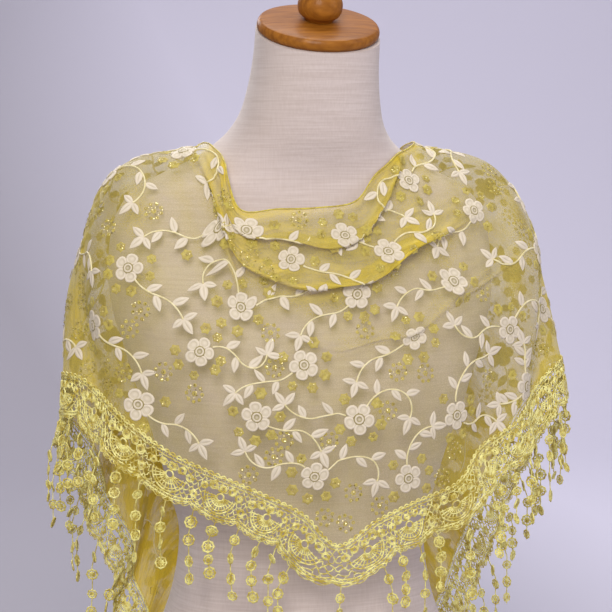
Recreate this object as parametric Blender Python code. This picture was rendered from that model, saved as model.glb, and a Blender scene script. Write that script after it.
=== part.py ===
"""A triangular lace shawl, worn with its point in front over a limbless dress form.

Metres, +Z up. The front faces -Y and the form stands on Z = 0. Heights in the tables are above the waist.
The cloth is one surface: t runs along its long edge, from -1 at the left tail's tip through 0 at the middle
of the neckline to 1 at the right tail's tip, and v runs from that edge, 0, to the lace border, 1.
"""

import math
from bisect import bisect_right
from collections import namedtuple

import bpy
from mathutils import Matrix, Vector
from mathutils.bvhtree import BVHTree

MM = 0.001
WAIST_HEIGHT = 270
SEAM_GAP = 0.3
HEADING_GAP = 0.6

# The cut, laid flat: half the long edge, the depth at the middle, and what is sewn to the short sides.
HALF_LENGTH = 750
DEPTH = 440
BORDER_WIDTH = 38
SCALLOP_DEPTH = 5
HEADING_WIDTH = 3.5
NET_THICKNESS = 1.2
LACE_THICKNESS = 1.8
HEADING_THICKNESS = 1.6

# Where the one piece of net is parted into the stretches that show, and where the tails end.
SHOULDER_SHARE = 0.28
TIP_SHARE = 0.97
REST_GAP = 0.9

# One row for each section across the form: millimetres, and degrees that the section leans forward.
Section = namedtuple("Section", "height middle_y half_width half_depth lean")
FORM_SECTIONS = (
    Section(-270, 4, 162, 112, 0),
    Section(-262, 4, 167, 116, 0),
    Section(-190, 4, 169, 117, 0),
    Section(-120, 2, 150, 106, 0),
    Section(-60, 0, 128, 93, 0),
    Section(0, -2, 120, 88, 0),
    Section(40, -3, 130, 94, 0),
    Section(83, -6, 142, 101, 0),
    Section(130, -10, 158, 110, 0),
    Section(185, -10, 175, 110, 0),
    Section(224, -7, 186, 104, 0),
    Section(262, -3, 188, 97, 2),
    Section(296, -2, 184, 89, 3),
    Section(320, -5, 174, 82, 4),
    Section(334, -9, 160, 76, 5),
    Section(347, -14, 136, 70, 7),
    Section(358, -20, 110, 65, 10),
    Section(370, -27, 92, 61, 13),
    Section(383, -34, 78, 59, 15),
    Section(400, -42, 68, 58.5, 18),
    Section(424, -50, 62, 58, 20),
    Section(452, -58, 58.5, 57.5, 20),
    Section(479, -65, 57.5, 57.5, 20),
)
FORM_SIDES = 30
FORM_SQUARENESS = 2.3

# Turned profiles, radius and height above the face that the piece stands on.
Turned = namedtuple("Turned", "radius height")
NECK_CAP = (
    Turned(54.5, 0),
    Turned(57, 2.5),
    Turned(57.6, 6),
    Turned(56.4, 9.5),
    Turned(53, 11.5),
    Turned(36, 13),
    Turned(24, 13),
)
FINIAL = (
    Turned(13, 0),
    Turned(14.5, 2),
    Turned(19, 6),
    Turned(21, 12),
    Turned(20.5, 19),
    Turned(16.5, 26),
    Turned(9.5, 31),
    Turned(3, 32.5),
)
TURNED_SIDES = 22

# One row for each rib of the cloth, from the long edge to the border: share of the half edge, then x outwards,
# y and height where the rib starts, over the shoulder or chest, lower down, and at the border.
Rib = namedtuple("Rib", "share edge upper lower hem")
MIDDLE_RIB = Rib(0, (-10, -105, 319), (-4, -126, 225), (0, -141, 118), (0, -138, 8))
LEFT_RIBS = (
    Rib(0.05, (47, -104, 318), (43, -124, 226), (38, -140, 130), (32, -137, 38)),
    Rib(0.10, (82, -98, 318), (80, -118, 232), (76, -136, 148), (70, -132, 58)),
    Rib(0.15, (87, -72, 357), (103, -104, 262), (112, -126, 168), (108, -122, 75)),
    Rib(0.20, (93, -38, 373), (132, -70, 312), (156, -102, 205), (148, -106, 93)),
    Rib(0.25, (98, -2, 377), (170, -30, 350), (200, -62, 250), (180, -88, 119)),
    Rib(0.30, (96, 34, 366), (184, 2, 346), (216, -24, 256), (206, -66, 143)),
    Rib(0.35, (92, 62, 341), (176, 44, 330), (217, 12, 256), (224, -32, 160)),
    Rib(0.42, (88, 84, 290), (156, 78, 288), (208, 56, 232), (226, 28, 147)),
    Rib(0.52, (86, 100, 217), (134, 100, 226), (184, 92, 184), (208, 80, 100)),
    Rib(0.64, (84, 110, 127), (120, 112, 132), (154, 106, 96), (172, 94, 27)),
    Rib(0.76, (84, 114, 40), (108, 116, 38), (131, 110, 6), (148, 100, -45)),
    Rib(0.88, (92, 115, -49), (106, 115, -58), (121, 112, -78), (135, 106, -105)),
    Rib(0.97, (108, 112, -125), (113, 112, -129), (118, 110, -134), (124, 108, -141)),
)
RIGHT_RIBS = (
    Rib(0.05, (27, -98, 324), (36, -122, 236), (42, -140, 135), (38, -136, 29)),
    Rib(0.10, (49, -82, 346), (72, -110, 258), (82, -135, 150), (78, -131, 45)),
    Rib(0.15, (73, -58, 364), (105, -90, 290), (124, -122, 172), (122, -119, 59)),
    Rib(0.20, (101, -33, 374), (140, -62, 324), (164, -98, 212), (150, -110, 90)),
    Rib(0.25, (110, 2, 377), (180, -26, 352), (214, -60, 256), (184, -92, 109)),
    Rib(0.30, (108, 38, 366), (200, 6, 346), (238, -22, 262), (216, -66, 133)),
    Rib(0.35, (104, 66, 340), (196, 46, 330), (244, 14, 258), (244, -40, 156)),
    Rib(0.42, (100, 88, 289), (176, 80, 292), (240, 56, 232), (264, 16, 158)),
    Rib(0.52, (98, 102, 215), (150, 104, 224), (208, 96, 182), (256, 72, 113)),
    Rib(0.64, (98, 110, 125), (140, 113, 134), (186, 106, 100), (228, 92, 45)),
    Rib(0.76, (102, 114, 38), (134, 116, 40), (168, 110, 12), (200, 100, -30)),
    Rib(0.88, (116, 115, -51), (136, 115, -55), (158, 110, -73), (176, 106, -95)),
    Rib(0.97, (138, 112, -128), (143, 112, -131), (149, 110, -135), (156, 108, -140)),
)
RIB_STOPS = (0.0, 0.33, 0.67, 1.0)
NET_BACK_ROWS = 7
NET_FRONT_ROWS = 2 * NET_BACK_ROWS

# Folds of the cowl, each a ridge between two places on the long edge. v gives how far down the rib its crest
# lies at the left end, the lowest place and the right end. It rises over above and drops over below.
Cowl = namedtuple("Cowl", "left lowest right v_left v_lowest v_right height above below")
COWL_FOLDS = (
    Cowl(-0.21, -0.01, 0.22, 0.02, 0.11, 0.03, 11, 0.060, 0.030),
    Cowl(-0.25, 0.02, 0.27, 0.06, 0.25, 0.10, 14, 0.075, 0.034),
    Cowl(-0.02, 0.14, 0.27, 0.38, 0.34, 0.24, 8, 0.055, 0.034),
)

# Gathers that run down from the tops of the shoulders, and flutes that open towards the border.
Gather = namedtuple("Gather", "share height width reach")
GATHERS = (
    Gather(0.140, 3.5, 0.010, 0.30),
    Gather(0.178, -3.0, 0.011, 0.24),
    Gather(0.212, 4.0, 0.011, 0.34),
    Gather(0.252, -3.0, 0.012, 0.26),
    Gather(0.292, 3.5, 0.012, 0.30),
)
Flute = namedtuple("Flute", "share height width")
FLUTES = (
    Flute(0.195, -4, 0.024),
    Flute(0.255, 5, 0.024),
    Flute(0.315, -6, 0.022),
    Flute(0.372, 8, 0.024),
    Flute(0.435, -9, 0.026),
    Flute(0.500, 10, 0.028),
    Flute(0.570, -10, 0.030),
    Flute(0.645, 10, 0.030),
    Flute(0.720, -9, 0.030),
    Flute(0.795, 8, 0.028),
    Flute(0.865, -6, 0.028),
    Flute(0.930, 5, 0.024),
)
FLUTES_START = 0.25

# Steps across the cloth that its slopes are measured over, along the long edge and down to the border.
SLOPE_STEP_ALONG = 0.006
SLOPE_STEP_DOWN = 0.02
BORDER_SLOPE_STEP = 0.02
BORDER_SLOPE_START = 0.9

# A cowl fold keeps its height until this share of its run is left.
COWL_FADE_SHARE = 0.25

# The border hangs from the cloth's slope towards straight down, from one share of the half edge to another.
BORDER_HANG = 0.45
HANG_START = 0.1
HANG_FULL = 0.3

# The lace: bars and gaps in turn along the border, three gaps to a scallop, and rows down its width.
LACE_PITCH = 16.4
LACE_BAR_SHARE = 0.4
LACE_GAPS_IN_SCALLOP = 3
LACE_ROWS = (0, 0.14, 0.42, 0.55, 0.84, 1)
LACE_GAP_ROWS = (1, 3)

# A tassel is a thread with flat rosettes strung on it: one row for each ring down its length.
Ring = namedtuple("Ring", "drop half_width half_thickness")
TASSEL_RINGS = (
    Ring(0.18, 0.8, 0.8),
    Ring(0.35, 4.8, 1.5),
    Ring(0.49, 0.9, 0.9),
    Ring(0.62, 4.9, 1.5),
    Ring(0.76, 0.9, 0.9),
    Ring(0.89, 4.9, 1.5),
    Ring(1.00, 0.9, 0.9),
)
TASSEL_LENGTHS = (66, 54, 72, 60, 69, 50)
TASSEL_COLUMNS = 3
TASSEL_SWING = 12
TASSEL_SPACING = 12


def smoothed(knots, values, at):
    """The cubic through the values, whose slope at each knot comes from its neighbours."""
    last = len(knots) - 1
    low = min(max(bisect_right(knots, at) - 1, 0), last - 1)

    def slope(knot):
        before = max(knot - 1, 0)
        after = min(knot + 1, last)
        return (values[after] - values[before]) / (knots[after] - knots[before])

    span = knots[low + 1] - knots[low]
    s = (at - knots[low]) / span
    start = values[low] * (2 * s**3 - 3 * s**2 + 1) + slope(low) * (span * (s**3 - 2 * s**2 + s))
    end = values[low + 1] * (3 * s**2 - 2 * s**3) + slope(low + 1) * (span * (s**3 - s**2))
    return start + end


def bell(distance, width):
    return math.exp(-((distance / width) ** 2))


def eased(value):
    value = min(max(value, 0), 1)
    return value * value * (3 - 2 * value)


def material(name, colour, roughness, metallic=0.0):
    made = bpy.data.materials.new(name)
    made.use_nodes = True
    shader = made.node_tree.nodes["Principled BSDF"]
    shader.inputs["Base Color"].default_value = (*colour, 1)
    shader.inputs["Roughness"].default_value = roughness
    shader.inputs["Metallic"].default_value = metallic
    return made


def add_piece(name, points, faces, finish):
    """An object from points in millimetres above the waist."""
    mesh = bpy.data.meshes.new(name)
    lift = Vector((0, 0, WAIST_HEIGHT))
    mesh.from_pydata([(point + lift) * MM for point in points], [], faces)
    mesh.materials.append(finish)
    mesh.shade_smooth()
    mesh.set_sharp_from_angle(angle=math.radians(40))
    piece = bpy.data.objects.new(name, mesh)
    bpy.context.scene.collection.objects.link(piece)
    return piece


def tube_faces(rings, sides):
    """Faces of a closed tube: quads between rings that run anticlockwise seen from above, and two end caps."""
    faces = []
    for ring in range(rings - 1):
        for side in range(sides):
            a = ring * sides + side
            b = ring * sides + (side + 1) % sides
            faces.append((a, b, b + sides, a + sides))
    faces.append(tuple(range(sides - 1, -1, -1)))
    faces.append(tuple(range((rings - 1) * sides, rings * sides)))
    return faces


def form_ring(section):
    """Points round one section of the form, a squared ellipse that leans forward about its middle."""
    lean = Matrix.Rotation(math.radians(section.lean), 3, "X")
    middle = Vector((0, section.middle_y, section.height))
    power = 2 / FORM_SQUARENESS
    points = []
    for side in range(FORM_SIDES):
        angle = 2 * math.pi * side / FORM_SIDES
        across = math.copysign(abs(math.cos(angle)) ** power, math.cos(angle)) * section.half_width
        along = math.copysign(abs(math.sin(angle)) ** power, math.sin(angle)) * section.half_depth
        points.append(middle + lean @ Vector((across, along, 0)))
    return points


def build_form(linen):
    rings = [form_ring(section) for section in FORM_SECTIONS]
    points = [point for ring in rings for point in ring]
    faces = tube_faces(len(rings), FORM_SIDES)
    add_piece("form_torso", points, faces, linen)
    return BVHTree.FromPolygons(points, faces)


def build_turned(name, profile, seat, lean, finish):
    """A turned piece that stands on a point of the neck's axis. It gives the point on top of it."""
    turn = Matrix.Rotation(math.radians(lean), 3, "X")
    points = []
    for row in profile:
        for side in range(TURNED_SIDES):
            angle = 2 * math.pi * side / TURNED_SIDES
            offset = Vector((row.radius * math.cos(angle), row.radius * math.sin(angle), row.height))
            points.append(seat + turn @ offset)
    add_piece(name, points, tube_faces(len(profile), TURNED_SIDES), finish)
    return seat + turn @ Vector((0, 0, profile[-1].height + SEAM_GAP))


def build_neck(wood):
    top = FORM_SECTIONS[-1]
    turn = Matrix.Rotation(math.radians(top.lean), 3, "X")
    seat = Vector((0, top.middle_y, top.height)) + turn @ Vector((0, 0, SEAM_GAP))
    seat = build_turned("form_neck_cap", NECK_CAP, seat, top.lean, wood)
    build_turned("form_finial", FINIAL, seat, top.lean, wood)


def rib_columns():
    """The ribs of both sides in order of t, as knots and one list of points for each stop."""
    rows = [(-rib.share, -1, rib) for rib in reversed(LEFT_RIBS)]
    rows.append((0, 1, MIDDLE_RIB))
    rows += [(rib.share, 1, rib) for rib in RIGHT_RIBS]
    knots = [t for t, _, _ in rows]
    columns = []
    for stop in ("edge", "upper", "lower", "hem"):
        column = []
        for _, side, rib in rows:
            x, y, height = getattr(rib, stop)
            column.append(Vector((side * x, y, height)))
        columns.append(column)
    return knots, columns


RIB_KNOTS, RIB_COLUMNS = rib_columns()


def cloth_base(t, v):
    """The cloth before its folds."""
    stops = [smoothed(RIB_KNOTS, column, t) for column in RIB_COLUMNS]
    return smoothed(RIB_STOPS, stops, v)


def cloth_normal(t, v):
    along = cloth_base(t + SLOPE_STEP_ALONG, v) - cloth_base(t - SLOPE_STEP_ALONG, v)
    low, high = max(v - SLOPE_STEP_DOWN, 0), min(v + SLOPE_STEP_DOWN, 1)
    down = cloth_base(t, high) - cloth_base(t, low)
    return down.cross(along).normalized()


def fold_height(t, v):
    """How far the folds lift the cloth off its base, in millimetres."""
    height = 0
    for fold in COWL_FOLDS:
        if not fold.left < t < fold.right:
            continue
        if t < fold.lowest:
            reach = (t - fold.lowest) / (fold.left - fold.lowest)
            crest = fold.v_lowest + (fold.v_left - fold.v_lowest) * reach**2
        else:
            reach = (t - fold.lowest) / (fold.right - fold.lowest)
            crest = fold.v_lowest + (fold.v_right - fold.v_lowest) * reach**2
        width = fold.above if v < crest else fold.below
        height += fold.height * bell(v - crest, width) * eased((1 - reach) / COWL_FADE_SHARE)
    share = abs(t)
    for gather in GATHERS:
        height += gather.height * bell(share - gather.share, gather.width) * bell(v, gather.reach)
    opening = eased((v - FLUTES_START) / (1 - FLUTES_START))
    for flute in FLUTES:
        height += flute.height * bell(share - flute.share, flute.width) * opening
    return height


def cloth_point(t, v, form, lift=0.0):
    """The cloth with its folds, never nearer to the form than it rests."""
    normal = cloth_normal(t, v)
    point = cloth_base(t, v) + normal * fold_height(t, v)
    near, face_normal, _, distance = form.find_nearest(point)
    if distance < REST_GAP or (point - near).dot(face_normal) < 0:
        point = near + face_normal * REST_GAP
    return point + normal * lift


def wall(name, outer, inner, finish, is_gap=None, tassels=None):
    """A wall between two grids of points, with the gap cells left out and every edge closed."""
    columns, rows = len(outer), len(outer[0])
    points = [point for column in outer for point in column]
    inner_start = len(points)
    points += [point for column in inner for point in column]

    def index(i, j):
        return i * rows + j

    def kept(i, j):
        inside = 0 <= i < columns - 1 and 0 <= j < rows - 1
        return inside and not (is_gap and is_gap(i, j))

    faces = []
    for i in range(columns - 1):
        for j in range(rows - 1):
            if not kept(i, j):
                continue
            a, b = index(i, j), index(i, j + 1)
            c, d = index(i + 1, j + 1), index(i + 1, j)
            faces.append((a, b, c, d))
            faces.append(tuple(inner_start + corner for corner in (d, c, b, a)))
            sides = (((a, b), (i - 1, j)), ((b, c), (i, j + 1)), ((c, d), (i + 1, j)), ((d, a), (i, j - 1)))
            for (start, end), neighbour in sides:
                if kept(*neighbour):
                    continue
                rim = (end, start, inner_start + start, inner_start + end)
                if tassels and neighbour[1] == rows - 1 and i in tassels:
                    add_tassel(points, faces, rim, *tassels[i])
                else:
                    faces.append(rim)
    return add_piece(name, points, faces, finish)


def add_tassel(points, faces, root, along, outwards, away, length):
    """A four-sided thread with rosettes, grown from the corners of its root. It swings clear of the border
    beside it and hangs straight down."""
    middle = sum((points[corner] for corner in root), Vector()) / 4
    signs = ((1, 1), (-1, 1), (-1, -1), (1, -1))
    ring = root
    for row in TASSEL_RINGS:
        swing = away * min(row.drop / TASSEL_RINGS[1].drop, 1)
        centre = middle + swing + Vector((0, 0, -row.drop * length))
        start = len(points)
        for sign_along, sign_out in signs:
            across = along * (sign_along * row.half_width)
            points.append(centre + across + outwards * (sign_out * row.half_thickness))
        following = tuple(range(start, start + 4))
        for corner in range(4):
            after = (corner + 1) % 4
            faces.append((ring[corner], ring[after], following[after], following[corner]))
        ring = following
    faces.append(ring)


def spaced(start, end, count):
    return [start + (end - start) * step / count for step in range(count + 1)]


def build_net(name, stations, rows, form, finish):
    """A stretch of the net. Where it has finer rows than its neighbours, its side edges follow theirs."""
    grids = []
    for lift in (NET_THICKNESS, 0):
        grid = [[cloth_point(t, v, form, lift) for v in spaced(0, 1, rows)] for t in stations]
        if rows > NET_BACK_ROWS:
            for column in (grid[0], grid[-1]):
                for row in range(1, rows, 2):
                    column[row] = (column[row - 1] + column[row + 1]) / 2
        grids.append(grid)
    wall(name, *grids, finish)


def border_ways(t):
    """Unit vectors at the border: out of the cloth, and down the border's width, which hangs a little."""
    before = max(t - BORDER_SLOPE_STEP, -TIP_SHARE)
    after = min(t + BORDER_SLOPE_STEP, TIP_SHARE)
    along = (cloth_base(after, 1) - cloth_base(before, 1)).normalized()
    normal = cloth_normal(t, 1)
    down = normal.cross(along).normalized()
    if down.dot(cloth_base(t, 1) - cloth_base(t, BORDER_SLOPE_START)) < 0:
        down = -down
    hang = BORDER_HANG * eased((abs(t) - HANG_START) / (HANG_FULL - HANG_START))
    down = (down * (1 - hang) + Vector((0, 0, -1)) * hang).normalized()
    return normal, down


def border_width(scallops):
    """The border's width at a count of scallops from the middle of the front."""
    valley = (1 - abs(math.sin(math.pi * scallops))) ** 2
    return BORDER_WIDTH - SCALLOP_DEPTH * valley


def border_column(t, downs, lift, form):
    """Points down the border's width, in line with the cloth's own edge."""
    normal, down = border_ways(t)
    start = cloth_point(t, 1, form, NET_THICKNESS / 2) + normal * lift
    return [start + down * distance for distance in downs]


def border_stretch(stations, levels, lift, form):
    """Columns at the stations, and between each two of them one where a bar meets a gap."""
    found = []
    for place, t in enumerate(stations):
        column = border_column(t, levels(place / LACE_GAPS_IN_SCALLOP), lift, form)
        if place:
            middle = (place - 1 + LACE_BAR_SHARE) / LACE_GAPS_IN_SCALLOP
            ends = [
                border_column(at, levels(middle), lift, form) for at in (stations[place - 1], t)
            ]
            found.append([a.lerp(b, LACE_BAR_SHARE) for a, b in zip(*ends)])
        found.append(column)
    return found


def lace_levels(scallops):
    width = border_width(scallops)
    return [SEAM_GAP + row * width for row in LACE_ROWS]


def heading_levels(scallops):
    top = SEAM_GAP + border_width(scallops) + HEADING_GAP
    return [top, top + HEADING_WIDTH]


def build_border(name, stations, form, lace, thread, feet):
    """The lace and the fringe under it, along one stretch from the front towards the tail. A tassel is left out
    where its foot would come too near to one that hangs already."""
    leftwards = stations[-1] < 0
    grids = []
    for levels, thickness in ((lace_levels, LACE_THICKNESS), (heading_levels, HEADING_THICKNESS)):
        for lift in (thickness / 2, -thickness / 2):
            grid = border_stretch(stations, levels, lift, form)
            grids.append(grid[::-1] if leftwards else grid)
    outer, inner, head_outer, head_inner = grids
    first_bar = 1 if leftwards else 0

    def is_gap(i, j):
        return i % 2 != first_bar and j in LACE_GAP_ROWS

    wall(f"lace_{name}", outer, inner, lace, is_gap)
    tassels = {}
    last = len(outer) - 1
    for i in range(last):
        across = head_outer[min(i + TASSEL_COLUMNS, last)][1] - head_outer[max(i - TASSEL_COLUMNS, 0)][1]
        along = Vector((across.x, across.y, 0)).normalized()
        outwards = along.cross(Vector((0, 0, 1)))
        down = (head_outer[i][1] - head_outer[i][0]).normalized()
        away = Vector((down.x, down.y, 0)) * TASSEL_SWING
        foot = (head_outer[i][1] + away).xy
        if any((foot - other).length < TASSEL_SPACING for other in feet):
            continue
        if tassels and i - max(tassels) < TASSEL_COLUMNS:
            continue
        tassels[i] = (along, outwards, away, TASSEL_LENGTHS[len(feet) % len(TASSEL_LENGTHS)])
        feet.append(foot)
    wall(f"fringe_{name}", head_outer, head_inner, thread, tassels=tassels)


def stations_between(near, far):
    """Places along the border, a lace bar and a gap apart."""
    length = math.hypot(HALF_LENGTH, DEPTH)
    return spaced(near, far, round(abs(far - near) * length / LACE_PITCH))


def main():
    for piece in list(bpy.data.objects):
        bpy.data.objects.remove(piece)
    linen = material("linen_cover", (0.63, 0.55, 0.51), 0.9)
    wood = material("varnished_wood", (0.50, 0.25, 0.10), 0.3)
    net = material("sheer_yellow_net", (0.66, 0.60, 0.10), 0.6)
    lace = material("yellow_lace", (0.76, 0.68, 0.16), 0.45)
    thread = material("yellow_thread", (0.72, 0.63, 0.13), 0.4)
    form = build_form(linen)
    build_neck(wood)
    seam = SEAM_GAP / 2 / HALF_LENGTH
    feet = []
    for side, sign in (("left", -1), ("right", 1)):
        nearer = stations_between(sign * seam, sign * (SHOULDER_SHARE - seam))
        farther = stations_between(sign * (SHOULDER_SHARE + seam), sign * TIP_SHARE)
        build_net(f"net_front_{side}", sorted(nearer), NET_FRONT_ROWS, form, net)
        build_net(f"net_back_{side}", sorted(farther), NET_BACK_ROWS, form, net)
        build_border(f"front_{side}", nearer, form, lace, thread, feet)
        build_border(f"back_{side}", farther, form, lace, thread, feet)


main()
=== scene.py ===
import math
import random

import bpy
import numpy as np
from mathutils import Matrix, Vector
from mathutils.bvhtree import BVHTree


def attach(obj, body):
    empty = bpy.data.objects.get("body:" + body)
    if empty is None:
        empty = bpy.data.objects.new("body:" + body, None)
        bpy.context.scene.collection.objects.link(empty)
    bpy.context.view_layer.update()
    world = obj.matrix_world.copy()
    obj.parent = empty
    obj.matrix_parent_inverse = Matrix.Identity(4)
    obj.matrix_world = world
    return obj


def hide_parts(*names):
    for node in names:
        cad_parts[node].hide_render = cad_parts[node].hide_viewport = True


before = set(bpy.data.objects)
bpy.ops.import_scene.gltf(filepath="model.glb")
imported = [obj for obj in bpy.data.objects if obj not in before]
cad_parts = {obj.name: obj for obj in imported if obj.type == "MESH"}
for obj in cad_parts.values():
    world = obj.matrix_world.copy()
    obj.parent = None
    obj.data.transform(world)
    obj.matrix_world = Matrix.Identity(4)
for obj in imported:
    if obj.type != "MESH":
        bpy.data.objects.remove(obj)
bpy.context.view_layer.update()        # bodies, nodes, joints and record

# A lace shawl over a dress form. Tables are in millimetres, with heights above the form's waist.
mm = 0.001
waistHeight = 270
tau = 2 * math.pi


# small tools

def toLinear(code):               # sRGB hex to linear colour
    channels = [int(code[i:i + 2], 16) / 255 for i in (1, 3, 5)]
    return (*[c / 12.92 if c <= 0.04045 else ((c + 0.055) / 1.055) ** 2.4 for c in channels], 1.0)


def feed(tree, node, inputs):     # each input takes a value, a socket or the first output of a node
    for key, value in inputs.items():
        if isinstance(value, bpy.types.Node):
            value = value.outputs[0]
        if isinstance(value, bpy.types.NodeSocket):
            tree.links.new(value, node.inputs[key])
        else:
            node.inputs[key].default_value = value
    return node


def addNode(tree, kind, inputs=None, **settings):
    node = tree.nodes.new(kind)
    for key, value in settings.items():
        setattr(node, key, value)
    return feed(tree, node, inputs or {})


def newMaterial(name, colour, **sockets):
    made = bpy.data.materials.new(name)
    made.use_nodes = True
    shader = made.node_tree.nodes["Principled BSDF"]
    shader.inputs["Base Color"].default_value = toLinear(colour)
    for key, value in sockets.items():
        shader.inputs[key.replace("_", " ")].default_value = value
    return made, made.node_tree, shader


def twoTone(tree, pattern, low, high, first, second):    # from one colour to the other as the pattern rises
    share = addNode(tree, "ShaderNodeMapRange", {0: pattern, 1: low, 2: high})
    colours = {0: share, 6: toLinear(first), 7: toLinear(second)}
    return addNode(tree, "ShaderNodeMix", colours, data_type="RGBA").outputs[2]


def toWorld(points):
    return (np.asarray(points, float) + (0, 0, waistHeight)) * mm


def addObject(name, data):
    made = bpy.data.objects.new(name, data)
    bpy.context.scene.collection.objects.link(made)
    return made


def makeMesh(name, points, faces, finish):
    mesh = bpy.data.meshes.new(name)
    mesh.from_pydata(toWorld(points).tolist(), [], faces)
    mesh.materials.append(finish)
    mesh.shade_smooth()
    return addObject(name, mesh)


def setAttribute(piece, name, kind, values):
    attribute = piece.data.attributes.new(name, kind, "POINT")
    key = "vector" if kind == "FLOAT_VECTOR" else "value"
    attribute.data.foreach_set(key, np.ravel(values).astype(np.float32))


def setUv(piece, flat):           # one flat place for each point, in metres
    corners = np.zeros(len(piece.data.loops), np.int32)
    piece.data.loops.foreach_get("vertex_index", corners)
    layer = piece.data.uv_layers.new(name="cut")
    layer.data.foreach_set("uv", np.ravel(np.asarray(flat)[corners]).astype(np.float32))


def onRoot(piece, slot, *nodes):  # on the only body, in place of its nodes; the slot is not used
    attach(piece, "root")
    if nodes:
        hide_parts(*nodes)


def gridFaces(columns, rows):     # quads of a grid kept column by column, facing down x along
    return [(a, a + 1, a + rows + 1, a + rows)
            for i in range(columns - 1) for a in range(i * rows, i * rows + rows - 1)]


def ringFaces(rings, sides):      # quads between rings that run anticlockwise seen from above, then two caps
    faces = [(a + n, a + (n + 1) % sides, a + (n + 1) % sides + sides, a + n + sides)
             for a in range(0, (rings - 1) * sides, sides) for n in range(sides)]
    return faces + [tuple(range(sides - 1, -1, -1)), tuple(range((rings - 1) * sides, rings * sides))]


def discFaces(rings, sides):      # rings that close on the middle, which is the last point
    inner = (rings - 1) * sides
    middle = [(inner + n, inner + (n + 1) % sides, inner + sides) for n in range(sides)]
    return ringFaces(rings, sides)[:-2] + middle


def evenAngles(count):
    return [tau * n / count for n in range(count)]


def eased(value):
    value = np.clip(value, 0, 1)
    return value * value * (3 - 2 * value)


def bell(distance, width):
    return np.exp(-((distance / width) ** 2))


def blendWeights(knots, at):      # the weights of a cubic through the knots, sloped by their neighbours
    knots, at = np.asarray(knots, float), np.asarray(at, float)
    last = len(knots) - 1
    low = np.clip(np.searchsorted(knots, at, side="right") - 1, 0, last - 1)
    span = knots[low + 1] - knots[low]
    s = (at - knots[low]) / span
    weights = np.zeros((len(at), len(knots)))
    rows = np.arange(len(at))
    weights[rows, low] += 2 * s**3 - 3 * s**2 + 1
    weights[rows, low + 1] += 3 * s**2 - 2 * s**3
    for knot, share in ((low, span * (s**3 - 2 * s**2 + s)), (low + 1, span * (s**3 - s**2))):
        before, after = np.maximum(knot - 1, 0), np.minimum(knot + 1, last)
        slope = share / (knots[after] - knots[before])
        weights[rows, after] += slope
        weights[rows, before] -= slope
    return weights


def normalised(vectors):
    return vectors / np.maximum(np.linalg.norm(vectors, axis=-1, keepdims=True), 1e-9)


# camera, lights and studio

camera = {                        # degrees and metres, with the lens and its sensor in millimetres
    "azimuth": -14, "elevation": 5, "distance": 2.2, "aim": (0.0047, -0.001, 0.488),
    "lens": 133, "sensorWidth": 36,
}
chest = (0, 0, 0.45)
lamps = [                         # name, place, width and watts, colour, and what it is turned to, in metres
    ("keyWindow", (-0.9, -2.6, 1.8), 1.4, 65, "#FFFAF4", chest),
    ("fillWindow", (2.1, -1.4, 1.4), 1.6, 11, "#F4F2FF", chest),
    ("topBank", (0.1, 0.6, 2.3), 1.4, 17, "#FFFFFF", chest),
    ("backBank", (-0.6, 2.6, 1.9), 1.4, 22, "#FBF9FF", chest),
    ("paperWash", (1.1, 0.8, 3.0), 2.4, 40, "#FFFFFF", (1.0, 3.4, 1.7)),
]
studio = {                        # the paper turns from a painted shadow on the left to its own colour on the right, between turnsAt
    "leftPaperInPaintedShade": "#9A97A0", "rightPaper": "#CCC9D9", "turnsAt": (0.15, 0.85), "slant": 0.45,
    "world": "#E9E5EE", "worldStrength": 0.44, "wallAt": 3.4, "bend": 1.4, "half": 5,
}


def paperFinish():                # seamless grey studio paper: matt, with a painted shadow that darkens it towards the lower left
    finish, tree, shader = newMaterial("paperSweep", studio["leftPaperInPaintedShade"], Roughness=0.9)
    place = addNode(tree, "ShaderNodeTexCoord").outputs["Object"]
    x, _, z = addNode(tree, "ShaderNodeSeparateXYZ", {0: place}).outputs
    across = addNode(tree, "ShaderNodeMath", {0: z, 1: studio["slant"], 2: x}, operation="MULTIPLY_ADD")
    # painted shade: the paper is darker towards the lower left and lighter to the right
    tone = twoTone(tree, across, *studio["turnsAt"], studio["leftPaperInPaintedShade"], studio["rightPaper"])
    feed(tree, shader, {"Base Color": tone})
    return finish


def buildStudio():
    turn, tilt = math.radians(camera["azimuth"]), math.radians(camera["elevation"])
    back = Vector((math.sin(turn) * math.cos(tilt), -math.cos(turn) * math.cos(tilt), math.sin(tilt)))
    eye = addObject("photoCamera", bpy.data.cameras.new("photoCamera"))
    eye.data.lens, eye.data.sensor_width = camera["lens"], camera["sensorWidth"]
    eye.location = Vector(camera["aim"]) + back * camera["distance"]
    eye.rotation_euler = (-back).to_track_quat("-Z", "Y").to_euler()
    bpy.context.scene.camera = eye
    for name, place, width, watts, colour, aim in lamps:
        light = bpy.data.lights.new(name, "AREA")
        light.shape, light.size, light.energy = "DISK", width, watts
        light.color = toLinear(colour)[:3]
        lamp = addObject(name, light)
        lamp.location = place
        lamp.rotation_euler = (Vector(aim) - lamp.location).to_track_quat("-Z", "Y").to_euler()
    world = bpy.data.worlds.new("studioAir")
    world.use_nodes = True
    air = world.node_tree.nodes["Background"].inputs
    air[0].default_value, air[1].default_value = toLinear(studio["world"]), studio["worldStrength"]
    bpy.context.scene.world = world
    bpy.context.scene.view_settings.view_transform = "Standard"
    bend, wall, half = studio["bend"], studio["wallAt"], studio["half"]
    turns = [math.radians(degrees) for degrees in range(0, 91, 6)]
    line = [(-half, 0)] + [(wall - bend + bend * math.sin(a), bend - bend * math.cos(a)) for a in turns]
    line.append((wall, half))
    count = len(line)
    mesh = bpy.data.meshes.new("studioSweep")
    mesh.from_pydata([(x, y, z) for x in (-half, half) for y, z in line], [],
                     [(n, n + count, n + count + 1, n + 1) for n in range(count - 1)])
    mesh.materials.append(paperFinish())
    mesh.shade_smooth()
    addObject("studioSweep", mesh)
    print("studio done")


# the dress form: a linen-covered torso, a turned neck cap and its knob

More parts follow.
